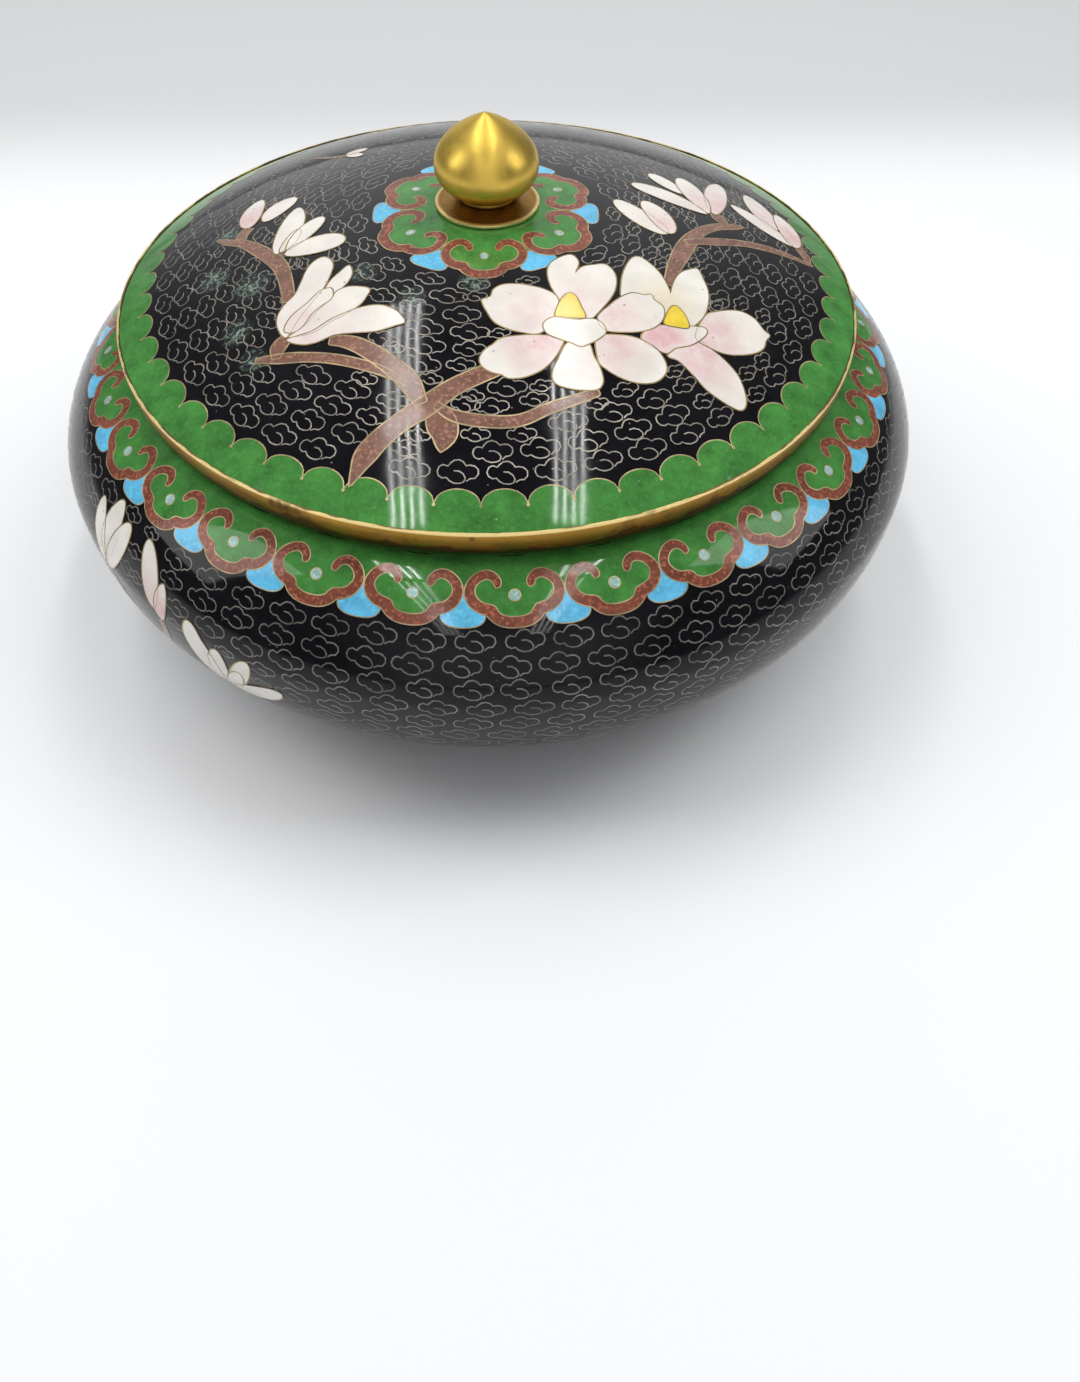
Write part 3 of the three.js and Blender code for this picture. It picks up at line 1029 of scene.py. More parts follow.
def build_knob():
    """The collar's dish and the knob: an elliptic lower half and an upper half drawn up to a point."""
    brass = settings().brass
    seat = COLLAR_HIGH[2]
    edge = COLLAR_HIGH[0]
    lip = float(dome_height(edge)) + COLLAR_LIP
    dish_t = np.linspace(0, 1, 10)
    dish_r = brass.collar_seat + (brass.collar_dish - brass.collar_seat) * dish_t
    dish_edge = float(dome_height(brass.collar_dish)) + DISH_LIP
    dish_z = seat + (dish_edge - seat) * np.sin(dish_t * np.pi / 2)
    roll = np.array([(brass.collar_dish, dish_z[-1])]) + DISH_ROLL
    rim = np.concatenate([roll, np.array(COLLAR_RIM) + (edge, lip)])
    bed_r = edge * np.linspace(DISC_SHARE, 0, 12)
    bed_drop = COLLAR_BED_DROP * (bed_r > edge * COLLAR_BED_SHARE)
    bed = np.stack([bed_r, dome_height(bed_r) + CLEARANCE - bed_drop], -1)
    top = np.array([(0.0, seat), (brass.collar_seat * 0.5, seat), (brass.collar_seat, seat)])
    collar = np.concatenate([top, np.stack([dish_r, dish_z], -1)[1:], rim, bed])
    make_piece("knob_collar_brass", turned(collar, KNOB_COLUMNS, True, True), "collar_brass",
               ["knob_collar"])
    radius, tip, foot = KNOB_HIGH[0], KNOB_HIGH[2], KNOB_LOW[2]
    t = np.linspace(1, 0, 40)
    upper = np.stack([
        radius * (1 - t ** brass.point_exponent), brass.ball_centre + (tip - brass.ball_centre) * t], -1)
    neck = foot + KNOB_RING_HEIGHT
    angle = np.linspace(0, np.arcsin((brass.ball_centre - neck) / brass.ball_drop), 26)[1:]
    lower = np.stack([radius * np.cos(angle), brass.ball_centre - brass.ball_drop * np.sin(angle)], -1)
    ring = np.concatenate([
        np.array(KNOB_RING_TOP) + (brass.neck_ring, neck),
        np.array(KNOB_RING_FOOT) + (brass.neck_ring, foot),
        [(brass.neck_ring * 0.5, foot), (0.0, foot)]])
    knob = np.concatenate([upper, lower, ring])
    make_piece("knob_brass", turned(knob, KNOB_COLUMNS, True, True), "knob_brass", ["knob"])


# Ruyi heads: x across, y up towards the mouth or the lid's centre, the dot at the origin

HEAD_HALF_PITCH = 9.6
HEAD_LEFT = [(-3.5, 1.5), (-3.2, 2.6), (-4.1, 3.8), (-5.4, 4.2), (-6.9, 3.6), (-8.1, 2.3), (-8.5, 0.6),
             (-7.8, -1.1), (-6.5, -2.2), (-5.2, -2.65), (-4.4, -2.9), (-3.9, -3.8), (-2.3, -4.8)]
HEAD_FOOT = (0.0, -5.1)
HEAD_HALF_WIDTHS = [0.7, 0.78, 0.88, 0.95, 0.95, 0.95, 1.0, 1.05, 1.05, 1.1, 1.15, 1.05, 1.05]
HEAD_END = 0.7
HEAD_LOWER = 0.7
HEAD_LEAST = 0.02
FAN_TOP, FAN_BOTTOM, FAN_WIDTH = 0.6, -6.1, 8.2
FAN_POWERS = (0.8, 0.4)
NECK_DOT_RADIUS = 1.12
MEDALLION_DOT_RADIUS = 0.9
DOT_SIDES = 16


def head_band():
    """Centreline and half-width of a head's band, from its left end round the foot to its right end.

    The half-width closes over the last part at each end as a quarter circle does.
    """
    left = np.array([(x, y, w) for (x, y), w in zip(HEAD_LEFT, HEAD_HALF_WIDTHS)])
    right = left[::-1] * (-1, 1, 1)
    whole = np.concatenate([left, [(*HEAD_FOOT, HEAD_HALF_WIDTHS[-1])], right])
    path = evenly(smooth(whole, 12), 96)
    distance = along(path[:, :2])
    near_end = np.minimum(distance, distance[-1] - distance).clip(0, HEAD_END) / HEAD_END
    half = path[:, 2] * np.sqrt(1 - (1 - near_end) ** 2)
    return path[:, :2], half.clip(HEAD_LEAST)


def head_ground(count):
    """x from -half pitch to +half pitch and the y of the band's centreline below the dot there."""
    path, _ = head_band()
    lower = path[(path[:, 1] < HEAD_LOWER)]
    order = np.argsort(lower[:, 0])
    x = np.linspace(-HEAD_HALF_PITCH, HEAD_HALF_PITCH, count, endpoint=False)
    return x, np.interp(x, lower[order, 0], lower[order, 1])


def build_heads(prefix, put, heads, place, fans, dot_radius, width):
    """Brown bands, gilt wires, blue fans and dots of a row of ruyi heads.

    put(k, points) takes the local points of head k to the plan that place understands.
    """
    path, half = head_band()
    side = sideways(path, False) * half[:, None]
    outline = evenly(np.concatenate([path + side, (path - side)[::-1]]), 160, True)
    paths = [put(k, path) for k in range(heads)]
    stretch = [np.linalg.norm(put(k, path + side) - put(k, path - side), axis=-1) / 2
               for k in range(heads)]
    bands = [ribbons(p, h, place, BAND_ENAMEL) for p, h in zip(paths, stretch)]
    make_piece(f"{prefix}_brown_enamel", join(bands), "brown_enamel")
    edges = np.stack([put(k, outline) for k in range(heads)])
    ring = circle((0.0, 0.0), dot_radius, DOT_SIDES)
    rings = np.stack([put(k, ring) for k in range(heads)])
    make_piece(f"{prefix}_blue_enamel", plates(fans, fans.mean(1), place, INLAY, 4), "blue_enamel")
    centres = np.stack([put(k, np.zeros((1, 2)))[0] for k in range(heads)])
    make_piece(f"{prefix}_dot_enamel", plates(rings, centres, place, BAND_ENAMEL, 2), "dot_enamel")
    metal = [wires(edges, width, place, BAND_ENAMEL, True), wires(rings, width, place, BAND_ENAMEL, True),
             wires(fans, width, place, INLAY, True)]
    make_piece(f"{prefix}_gilt_wires", join(metal), "gilt_wire")


def build_neck_border():
    """Green neck of the bowl and the ruyi heads round it."""
    art = settings().artwork
    pitch = TURN / art.head_count
    reference = 2 * HEAD_HALF_PITCH / pitch
    place = on_bowl(reference)

    def put(k, points):
        """Points of head k on the map of the neck."""
        return points + (reference * (art.head_start + k * pitch), -art.head_depth)

    x, y = head_ground(28)
    columns = np.concatenate([put(k, np.stack([x, y], -1)) for k in range(art.head_count)])
    share = np.linspace(0, 1, 9)[:, None]
    top = np.stack([columns[:, 0], 0 * columns[:, 0]], -1)
    plan = top + share[..., None] * (columns - top)
    make_piece("neck_green_enamel", shell(green_field(plan, place)), "green_enamel")
    fan = petal_outline((HEAD_HALF_PITCH, FAN_TOP), (HEAD_HALF_PITCH, FAN_BOTTOM), FAN_WIDTH, *FAN_POWERS,
                        count=32)
    fans = np.stack([put(k, fan) for k in range(art.head_count)])
    build_heads("neck", put, art.head_count, place, fans, NECK_DOT_RADIUS, art.fine_wire_width)


# Medallion round the knob: its centre, the turn of its first spoke in degrees, and radii from its centre

MEDALLION_CENTRE = np.array([-0.4, -1.9])
MEDALLION_HEADS = 6
MEDALLION_START = 28.0
MEDALLION_DOT = 18.0
MEDALLION_INNER = 8.0
MEDALLION_SCALE = np.array([0.94, 1.12])
MEDALLION_FAN = (18.4, 24.3, 8.4)
MEDALLION_FAN_POWERS = (0.9, 0.35)
MEDALLION_REACH = 25.2


def build_medallion():
    """Green medallion round the knob: six ruyi heads set straight on spokes, with a fan between them."""
    art = settings().artwork
    spokes = np.radians(MEDALLION_START) + np.arange(MEDALLION_HEADS) * TURN / MEDALLION_HEADS

    def on_spoke(angle, out, across):
        """Plan points at a distance out along a spoke and across it, to the left seen from the centre."""
        ahead = np.array([np.cos(angle), np.sin(angle)])
        left = np.array([-ahead[1], ahead[0]])
        return MEDALLION_CENTRE + out[..., None] * ahead + across[..., None] * left

    def put(k, points):
        """Points of head k on the plan of the lid."""
        local = points * MEDALLION_SCALE
        return on_spoke(spokes[k], MEDALLION_DOT - local[..., 1], -local[..., 0])

    x, y = head_ground(36)
    local = np.stack([x, y], -1)[::-1]
    columns = np.concatenate([put(k, local) for k in range(len(spokes))]) - MEDALLION_CENTRE
    reach = np.linalg.norm(columns, axis=1, keepdims=True)
    share = np.linspace(0, 1, 8)[:, None, None]
    radius = MEDALLION_INNER + share * (reach - MEDALLION_INNER)
    plan = MEDALLION_CENTRE + columns / reach * radius
    rows = green_field(plan, on_lid)
    make_piece("medallion_green_enamel", shell(rows[::-1]), "green_enamel")
    inner, outer, width = MEDALLION_FAN
    fan = petal_outline((inner, 0), (outer, 0), width, *MEDALLION_FAN_POWERS, count=32)
    between = spokes + TURN / MEDALLION_HEADS / 2
    fans = np.stack([on_spoke(angle, fan[:, 0], fan[:, 1]) for angle in between])
    build_heads("medallion", put, len(spokes), on_lid, fans, MEDALLION_DOT_RADIUS, art.fine_wire_width)


# Scalloped border of the lid

SCALLOP_POWER = 0.55
SCALLOP_WOBBLE = 0.12
BORDER_GAP = 0.04
BEAD_RADIUS = 0.33
BEAD_INSET = 0.25
BEAD_SIDES = 10


def build_lid_border():
    """Green border: a strip from the scallops out to the brass, with a wire along each scallop.

    Between two cusps the inner radius is cusp radius - depth (1 - (2t - 1)^2)^power, t from 0 to 1. A
    small bead of wire closes each cusp.
    """
    art = settings().artwork
    pitch = TURN / art.scallop_count
    t = np.linspace(0, 1, 17)
    inner = art.cusp_radius - art.scallop_depth * (1 - (2 * t - 1) ** 2) ** SCALLOP_POWER
    start = art.scallop_start - np.pi / 2
    rng = np.random.default_rng(art.seed)
    wobble = rng.normal(0, SCALLOP_WOBBLE, art.scallop_count)
    azimuth, radius = [], []
    for k in range(art.scallop_count):
        azimuth.append(start + (k + t) * pitch)
        radius.append(inner + wobble[k] * np.sin(np.pi * t))
    azimuth, radius = np.array(azimuth), np.array(radius)
    strip_a, strip_r = azimuth[:, :-1].ravel(), radius[:, :-1].ravel()
    share = np.linspace(0, 1, 5)[:, None]
    reach = strip_r + share * (settings().form.lid_radius - BORDER_GAP - strip_r)
    plan = polar(reach, strip_a)
    make_piece("lid_green_enamel", shell(green_field(plan, on_lid)), "green_enamel")
    paths = polar(radius, azimuth)
    cusp = polar(art.cusp_radius + BEAD_INSET, azimuth[:, 0])
    beads = circle(cusp[:, None], BEAD_RADIUS, BEAD_SIDES)
    metal = [wires(paths, art.fine_wire_width, on_lid, FIELD),
             plates(beads, cusp, on_lid, FIELD + WIRE_RISE, 1)]
    make_piece("lid_border_wires", join(metal), "gilt_wire")


# Clouds: the wire of one cloud, drawn once with its top up, mm

CLOUD = [(-0.8, 0.1), (0.2, 0.1), (1.1, -0.4), (1.55, -1.2), (1.3, -1.9), (0.5, -2.2), (-0.6, -2.2),
         (-1.5, -1.8), (-2.1, -1.2), (-2.9, -1.35), (-3.7, -0.9), (-4.0, -0.1), (-3.7, 0.8), (-3.0, 1.2),
         (-2.0, 0.95), (-1.6, 1.5), (-0.9, 2.1), (0.1, 2.25), (0.9, 1.9), (1.5, 1.2), (2.3, 1.35),
         (3.2, 1.2), (3.9, 0.6), (4.0, -0.3), (3.4, -1.1), (2.5, -1.2), (1.75, -1.75)]

# How far the clouds differ from each other: share of size, lean in radians, shift in mm
CLOUD_STRETCH = 0.025
CLOUD_LEAN = 0.04
CLOUD_SHIFT = 0.10

# How much of a cloud may lie under an outline, and the sizes tried for one that meets an outline
HIDDEN_SHARE = 0.10
SQUEEZES = (1.0, 0.86, 0.74, 0.62)

# Rings of clouds on the lid by radius and rows on the bowl by distance down from the mouth, mm, each
# turned on from the one before by some radians
LID_FIRST_RING = 71.7
LID_LAST_RING = 24.0
LID_RING_TURN = 0.13
BOWL_FIRST_ROW = 17.9
BOWL_ROW_TURN = 0.02
LOWER_ROWS_FROM = 55.0
ROWS_END_ABOVE_BASE = 10.0
FOOT_BORDER = (6.4, 2.2)
FOOT_BORDER_COLUMNS = 288


def set_down(local, centres, turns):
    """A drawing (B or 1, N, 2) turned and moved to each of the centres."""
    cos, sin = np.cos(turns)[:, None], np.sin(turns)[:, None]
    across = local[..., 0] * cos - local[..., 1] * sin
    upward = local[..., 0] * sin + local[..., 1] * cos
    return np.stack([across, upward], -1) + centres[:, None]


def cloud_paths(centres, turns, rng):
    """Cloud wires (B, N, 2) at the centres, turned, each with its own small stretch and lean."""
    count = len(centres)
    size = settings().artwork.cloud_size * (1 + rng.normal(0, CLOUD_STRETCH, (count, 1, 2)))
    turns = turns + rng.normal(0, CLOUD_LEAN, count)
    centres = centres + rng.normal(0, CLOUD_SHIFT, (count, 2))
    return set_down(np.array(CLOUD)[None] * size, centres, turns)


def covered(paths, outlines):
    """Which points of the paths (B, N, 2) lie inside any outline.

    A point is inside when a line from it along +X crosses an odd number of the outline's edges.
    """
    flat = paths.reshape(-1, 2)
    found = np.zeros(len(flat), bool)
    for outline in outlines:
        near = np.flatnonzero(((flat > outline.min(0)) & (flat < outline.max(0))).all(1))
        x, y = flat[near, 0, None], flat[near, 1, None]
        ahead = np.roll(outline, -1, axis=0)
        spans = (outline[:, 1] > y) != (ahead[:, 1] > y)
        rise = np.where(ahead[:, 1] == outline[:, 1], 1.0, ahead[:, 1] - outline[:, 1])
        crossing = outline[:, 0] + (y - outline[:, 1]) / rise * (ahead[:, 0] - outline[:, 0])
        found[near] |= (spans & (x < crossing)).sum(1) % 2 == 1
    return found.reshape(paths.shape[:2])


def fit_round(paths, outlines):
    """Clouds that clear the outlines: each that meets one is drawn smaller in its own free part."""
    kept = []
    middle = paths.mean(1, keepdims=True)
    local = paths - middle
    for squeeze in SQUEEZES:
        drawn = middle + local * squeeze
        hidden = covered(drawn, outlines)
        clear = hidden.mean(1) <= HIDDEN_SHARE
        kept.append(drawn[clear])
        some = ~clear & ~hidden.all(1)
        free = ~hidden[some, :, None]
        middle = (drawn[some] * free).sum(1, keepdims=True) / free.sum(1, keepdims=True)
        local = local[some]
    return np.concatenate(kept)


def lid_outlines():
    """Outlines of the medallion, the petals and the branches on the lid."""
    broad = OPEN_FLOWER_BACK + OPEN_FLOWER_FRONT + CLOSED_FLOWER
    outlines = [circle(MEDALLION_CENTRE, MEDALLION_REACH)]
    outlines += [smooth(points, 4, True) for _, points in broad]
    for _, left_base, notch, right_base, left, right in NOTCHED_PETALS:
        outlines.append(smooth([left_base, *left, notch, *right, right_base], 4, True))
    outlines += [petal_outline(*petal[:6]) for petal in LID_PETALS]
    outlines += [branch_outline(points)[2] for points in LID_BRANCHES]
    return outlines


def belly_outlines():
    """Outlines of the petals and the branches on the belly."""
    outlines = [petal_outline(*petal[:6]) for petal in BELLY_PETALS]
    outlines += [branch_outline(points)[2] for points in BELLY_BRANCHES]
    return [outline * (1, -1) for outline in outlines]


def build_lid_clouds():
    """Rings of clouds on the lid, their tops towards its centre."""
    art = settings().artwork
    rng = np.random.default_rng(art.seed + 1)
    centres, turns = [], []
    radius = LID_FIRST_RING
    row = 0
    while radius > LID_LAST_RING:
        count = int(round(TURN * radius / art.cloud_pitch))
        azimuth = (np.arange(count) + 0.5 * (row % 2)) * TURN / count + LID_RING_TURN * row
        centres.append(polar(radius, azimuth))
        turns.append(azimuth + np.pi / 2)
        radius -= art.lid_row_pitch
        row += 1
    centres, turns = np.concatenate(centres), np.concatenate(turns)
    clouds = fit_round(cloud_paths(centres, turns, rng), lid_outlines())
    make_piece("lid_cloud_wires", wires(clouds, art.wire_width, on_lid, GROUND), "cloud_wire_lid_lit")


def build_bowl_clouds():
    """Rows of clouds on the bowl below the ruyi heads, their tops towards the mouth."""
    art = settings().artwork
    rng = np.random.default_rng(art.seed + 2)
    distance, radius, _, _, _ = bowl_curve()
    groups = {"belly": [], "lower": []}
    outlines = belly_outlines()
    depth = BOWL_FIRST_ROW
    row = 0
    while depth < distance[-1] - ROWS_END_ABOVE_BASE:
        here = float(np.interp(depth, distance, radius))
        count = int(round(TURN * here / art.cloud_pitch))
        azimuth = (np.arange(count) + 0.5 * (row % 2)) * TURN / count + BOWL_ROW_TURN * row - np.pi
        centres = np.stack([azimuth * here, np.full(count, -depth)], -1)
        paths = cloud_paths(centres, np.zeros(count), rng)
        scale = (here / BELLY_REFERENCE, 1)
        clouds = fit_round(paths, [outline * scale for outline in outlines])
        group = groups["belly" if depth < LOWER_ROWS_FROM else "lower"]
        group.append(wires(clouds, art.wire_width, on_bowl(here), GROUND))
        depth += art.bowl_row_pitch
        row += 1
    for name, parts in groups.items():
        make_piece(f"{name}_cloud_wires", join(parts), "cloud_wire")


def build_foot_border():
    """Plain green border above the foot, between two wires."""
    art = settings().artwork
    distance, radius, _, _, _ = bowl_curve()
    ends = distance[-1] - np.array(FOOT_BORDER)
    turn = np.arange(FOOT_BORDER_COLUMNS) * TURN / FOOT_BORDER_COLUMNS
    here = float(np.interp(ends[0], distance, radius))
    place = on_bowl(here)
    share = np.linspace(0, 1, 5)[:, None]
    plan = np.stack([here * turn + 0 * share, -(ends[0] + share * (ends[1] - ends[0])) + 0 * turn], -1)
    make_piece("foot_green_enamel", shell(green_field(plan, place)), "green_enamel")
    lines = np.stack([np.stack([here * turn, np.full(len(turn), -end)], -1) for end in ends])
    metal = wires(lines, art.fine_wire_width, place, FIELD, True)
    make_piece("foot_border_wires", metal, "gilt_wire")


# Branches: points (x, y, half-width) along each, on the lid's plan

LID_BRANCHES = [
    [(-11.5, -57.6, 1.6), (-10.0, -61.0, 2.8), (-9.3, -63.6, 2.6), (-9.7, -65.8, 1.5),
     (-10.1, -67.3, 0.15)],
    [(-42.6, -41.6, 0.8), (-42.2, -38.6, 1.7), (-40.4, -36.6, 1.2)],
    [(-16.0, -52.8, 0.4), (-21.5, -48.8, 1.0), (-29.4, -45.0, 1.1), (-36.0, -42.9, 1.1),
     (-41.5, -41.8, 1.2), (-47.0, -40.8, 0.6)],
    [(-11.0, -57.6, 0.7), (-7.2, -60.2, 1.2), (-1.0, -61.6, 1.25), (5.0, -61.4, 1.2),
     (10.6, -58.8, 1.1), (16.0, -56.6, 1.0), (20.4, -54.6, 0.8)],
    [(-13.6, -57.2, 1.2), (-15.8, -52.4, 2.0), (-19.4, -48.0, 1.9), (-25.0, -42.8, 1.7),
     (-29.0, -40.4, 1.4), (-31.9, -39.8, 1.0)],
    [(-27.1, -72.0, 0.15), (-25.8, -69.3, 1.2), (-24.2, -66.5, 2.15), (-21.4, -63.6, 2.1),
     (-17.5, -60.6, 2.0), (-12.8, -57.8, 2.2), (-7.2, -53.9, 1.9), (0.6, -50.2, 1.7),
     (3.0, -49.0, 1.4)],
    [(-44.6, -12.0, 0.7), (-44.4, -9.8, 1.6), (-44.8, -7.4, 1.0)],
    [(-53.6, -0.6, 0.5), (-54.4, 2.2, 1.4), (-53.2, 4.8, 1.4)],
    [(-41.0, -26.5, 1.3), (-42.2, -20.0, 1.4), (-44.2, -13.9, 1.6), (-48.6, -7.4, 1.6),
     (-53.5, -1.6, 1.2), (-57.5, 1.4, 1.0), (-60.6, 4.4, 0.3)],
    [(72.9, -0.6, 0.5), (72.6, 2.6, 1.3), (71.2, 6.4, 1.2)],
    [(42.6, -8.2, 0.8), (49.0, -5.4, 1.25), (57.0, -2.4, 1.1), (65.0, -0.9, 1.1), (73.9, -1.0, 0.5)],
    [(53.6, 3.2, 0.5), (52.4, 6.0, 1.6), (51.2, 8.4, 1.0)],
    [(36.8, -24.6, 0.9), (38.6, -19.0, 1.4), (41.4, -12.0, 1.9), (43.9, -6.8, 1.7), (46.6, -2.6, 1.3),
     (50.6, 1.4, 1.2), (55.4, 4.2, 1.0), (58.0, 5.6, 0.3)],
    [(-41.8, 41.0, 0.5), (-37.4, 37.4, 0.7), (-33.6, 36.2, 0.4)],
]

# Broad petals: (blush, outline through these points from the base round), the lowest of a flower first

OPEN_FLOWER_BACK = [
    (0.75, [(38.0, -40.0), (34.6, -44.3), (36.8, -45.2), (39.5, -48.0), (42.0, -51.0), (45.5, -53.2),
     (48.6, -54.1), (50.0, -52.5), (50.1, -49.5), (49.2, -46.0), (47.0, -43.0), (44.4, -40.8),
     (41.5, -39.0)]),
    (0.60, [(41.0, -38.4), (44.5, -40.6), (47.5, -41.1), (50.5, -40.4), (53.5, -39.0), (55.8, -37.0),
     (56.8, -34.4), (57.9, -32.7), (56.6, -31.6), (55.0, -29.0), (52.3, -27.9), (49.5, -28.4),
     (46.5, -29.8), (43.8, -31.8)]),
    (1.00, [(29.6, -40.8), (34.2, -43.9), (36.5, -42.2), (39.5, -40.9), (41.8, -39.1), (43.7, -36.7),
     (43.4, -35.2), (41.0, -35.4), (38.0, -36.2), (33.0, -37.0)]),
]
OPEN_FLOWER_FRONT = [
    (0.45, [(12.8, -38.0), (13.6, -32.4), (11.4, -30.1), (8.2, -29.0), (5.0, -28.5), (2.4, -28.8),
     (0.6, -30.2), (0.0, -32.2), (-1.7, -32.8), (-1.5, -34.2), (-0.7, -36.4), (0.6, -38.9),
     (3.0, -40.6), (6.0, -41.6), (9.6, -41.7)]),
    (0.70, [(14.0, -42.6), (9.5, -42.1), (5.5, -42.3), (2.0, -43.0), (0.3, -44.5), (-1.4, -45.8),
     (-2.5, -48.0), (-1.7, -50.0), (0.2, -51.2), (1.9, -51.7), (3.0, -52.5), (6.2, -52.2), (9.5, -50.5),
     (11.6, -48.4), (13.2, -45.6)]),
    (0.25, [(17.0, -43.0), (14.6, -44.0), (12.9, -47.5), (11.5, -50.8), (11.8, -53.2), (14.0, -54.3),
     (17.0, -54.6), (20.0, -54.3), (21.3, -52.5), (21.0, -49.5), (19.8, -46.4), (19.2, -43.8)]),
    (0.65, [(20.4, -42.0), (20.6, -47.6), (22.0, -49.4), (24.5, -51.0), (28.0, -51.9), (31.5, -51.3),
     (33.6, -49.3), (34.3, -47.2), (33.6, -44.6), (32.0, -42.5), (29.5, -41.2), (26.5, -40.7),
     (22.6, -41.0)]),
    (0.60, [(21.6, -39.0), (23.0, -40.1), (26.0, -40.0), (29.5, -39.3), (32.5, -37.8), (34.5, -35.5),
     (35.2, -32.8), (34.8, -31.0), (33.3, -29.9), (33.0, -28.4), (31.3, -28.9), (29.0, -28.7),
     (26.5, -30.3), (23.5, -33.5), (21.2, -36.5)]),
    (-0.30, [(10.2, -40.2), (10.9, -41.8), (13.0, -42.9), (15.6, -43.8), (17.4, -44.6), (19.0, -43.8),
     (20.8, -42.6), (22.6, -40.6), (22.3, -38.6), (20.8, -37.3), (17.0, -37.4), (12.6, -37.4),
     (10.5, -38.8)]),
]
CLOSED_FLOWER = [
    (0.05, [(-33.4, -26.0), (-33.4, -24.8), (-32.5, -22.8), (-30.6, -20.5), (-28.9, -18.9),
     (-28.1, -20.8), (-28.2, -22.8), (-29.3, -25.0), (-31.2, -27.0)]),
    (0.20, [(-40.8, -36.8), (-42.9, -33.5), (-43.1, -30.2), (-41.8, -27.3), (-39.9, -25.0),
     (-38.9, -21.8), (-37.9, -17.8), (-36.4, -15.4), (-34.5, -14.6), (-33.0, -15.9), (-32.2, -18.2),
     (-32.6, -21.0), (-33.8, -24.8), (-36.0, -28.5), (-38.5, -32.5)]),
    (0.35, [(-41.2, -35.2), (-41.3, -33.6), (-40.0, -31.0), (-37.0, -28.3), (-34.7, -25.6),
     (-32.4, -25.1), (-31.7, -26.6), (-32.0, -28.6), (-34.2, -30.6), (-36.6, -34.0), (-39.2, -35.8)]),
    (0.25, [(-40.4, -36.8), (-37.6, -34.9), (-35.8, -31.8), (-34.0, -30.1), (-32.0, -28.6),
     (-31.2, -26.6), (-28.9, -25.7), (-26.0, -26.3), (-24.2, -27.4), (-24.8, -29.5), (-26.0, -31.5),
     (-28.9, -33.6), (-32.0, -35.0), (-35.4, -37.0)]),
    (0.35, [(-40.8, -37.4), (-38.2, -36.9), (-35.4, -36.4), (-32.0, -34.3), (-28.9, -33.1),
     (-25.5, -32.2), (-22.0, -32.3), (-18.8, -34.2), (-17.1, -36.8), (-17.0, -37.9), (-19.0, -38.4),
     (-22.5, -39.2), (-26.5, -38.9), (-31.0, -38.6), (-34.5, -39.7), (-37.8, -39.4)]),
]

# Notched petals: two lobes that meet along a line from the notch, with one wire round both

NOTCHED_PETALS = [
    (-0.60, (30.0, -34.4), (37.1, -26.8), (40.0, -36.4),
     [(26.6, -31.0), (26.8, -26.0), (27.9, -21.5), (29.5, -18.0), (31.0, -16.8), (32.6, -17.6), (34.8, -20.2),
      (36.3, -23.4)],
     [(38.0, -23.5), (39.8, -20.0), (42.3, -18.0), (44.0, -17.3), (44.7, -19.5), (45.5, -24.0), (45.0, -28.0),
      (43.6, -32.0), (41.6, -34.8)]),
    (0.45, (15.6, -37.0), (17.5, -24.2), (19.0, -38.0),
     [(14.0, -33.2), (12.4, -29.5), (11.7, -26.0), (12.0, -23.0), (13.6, -20.6), (16.8, -18.7), (18.3, -20.4),
      (18.2, -22.4)],
     [(19.2, -22.3), (21.8, -21.3), (24.0, -20.9), (25.5, -22.8), (25.9, -25.5), (25.3, -28.8), (23.6, -32.2),
      (20.6, -36.6)]),
]

# Slender petals: (base, tip, width, base power, tip power, bend, blush), the lowest of a flower first

LID_PETALS = [
    ((-45.2, -9.8), (-42.0, 8.4), 5.8, 0.6, 0.62, -0.6, 0.05),
    ((-44.4, -9.6), (-40.9, -1.8), 3.0, 0.6, 0.5, -0.3, -0.5),
    ((-43.0, -9.4), (-35.8, 1.3), 4.8, 0.7, 0.5, 0.2, 0.0),
    ((-43.4, -10.6), (-30.1, -9.4), 6.4, 0.6, 0.45, 0.4, 0.15),
    ((-49.8, 5.8), (-43.4, 14.4), 5.8, 0.55, 0.5, 0.6, 0.25),
    ((-53.4, 5.0), (-52.2, 18.6), 5.4, 0.5, 0.55, 0.6, 0.8),
    ((38.6, -6.6), (28.0, 4.6), 5.8, 0.45, 0.5, 0.4, 0.15),
    ((39.6, -6.2), (34.8, 6.3), 5.8, 0.5, 0.5, -0.5, 0.55),
    ((45.0, 14.4), (38.0, 22.8), 4.6, 0.6, 0.45, 0.0, 0.0),
    ((51.4, 7.6), (55.8, 28.2), 5.6, 0.6, 0.55, 0.3, 0.7),
    ((50.0, 7.2), (45.6, 24.6), 6.0, 0.7, 0.55, 0.2, 0.45),
    ((49.6, 6.6), (32.8, 14.4), 5.6, 0.7, 0.5, -0.4, 0.2),
    ((66.6, 10.0), (62.8, 27.4), 6.6, 0.5, 0.6, 0.0, 0.55),
    ((70.2, 4.8), (56.8, 16.2), 5.2, 0.6, 0.6, 0.2, 0.2),
    ((70.6, 4.6), (69.4, 20.8), 5.6, 0.5, 0.55, -0.5, 0.8),
    ((-33.4, 36.4), (-29.4, 33.6), 3.0, 0.5, 0.5, 0.0, 0.3),
    ((-33.6, 36.8), (-28.6, 39.2), 3.2, 0.5, 0.5, 0.0, 0.5),
]
LID_PETAL_GROUPS = ((0, 4), (4, 6), (6, 8), (8, 12), (12, 15), (15, 17))
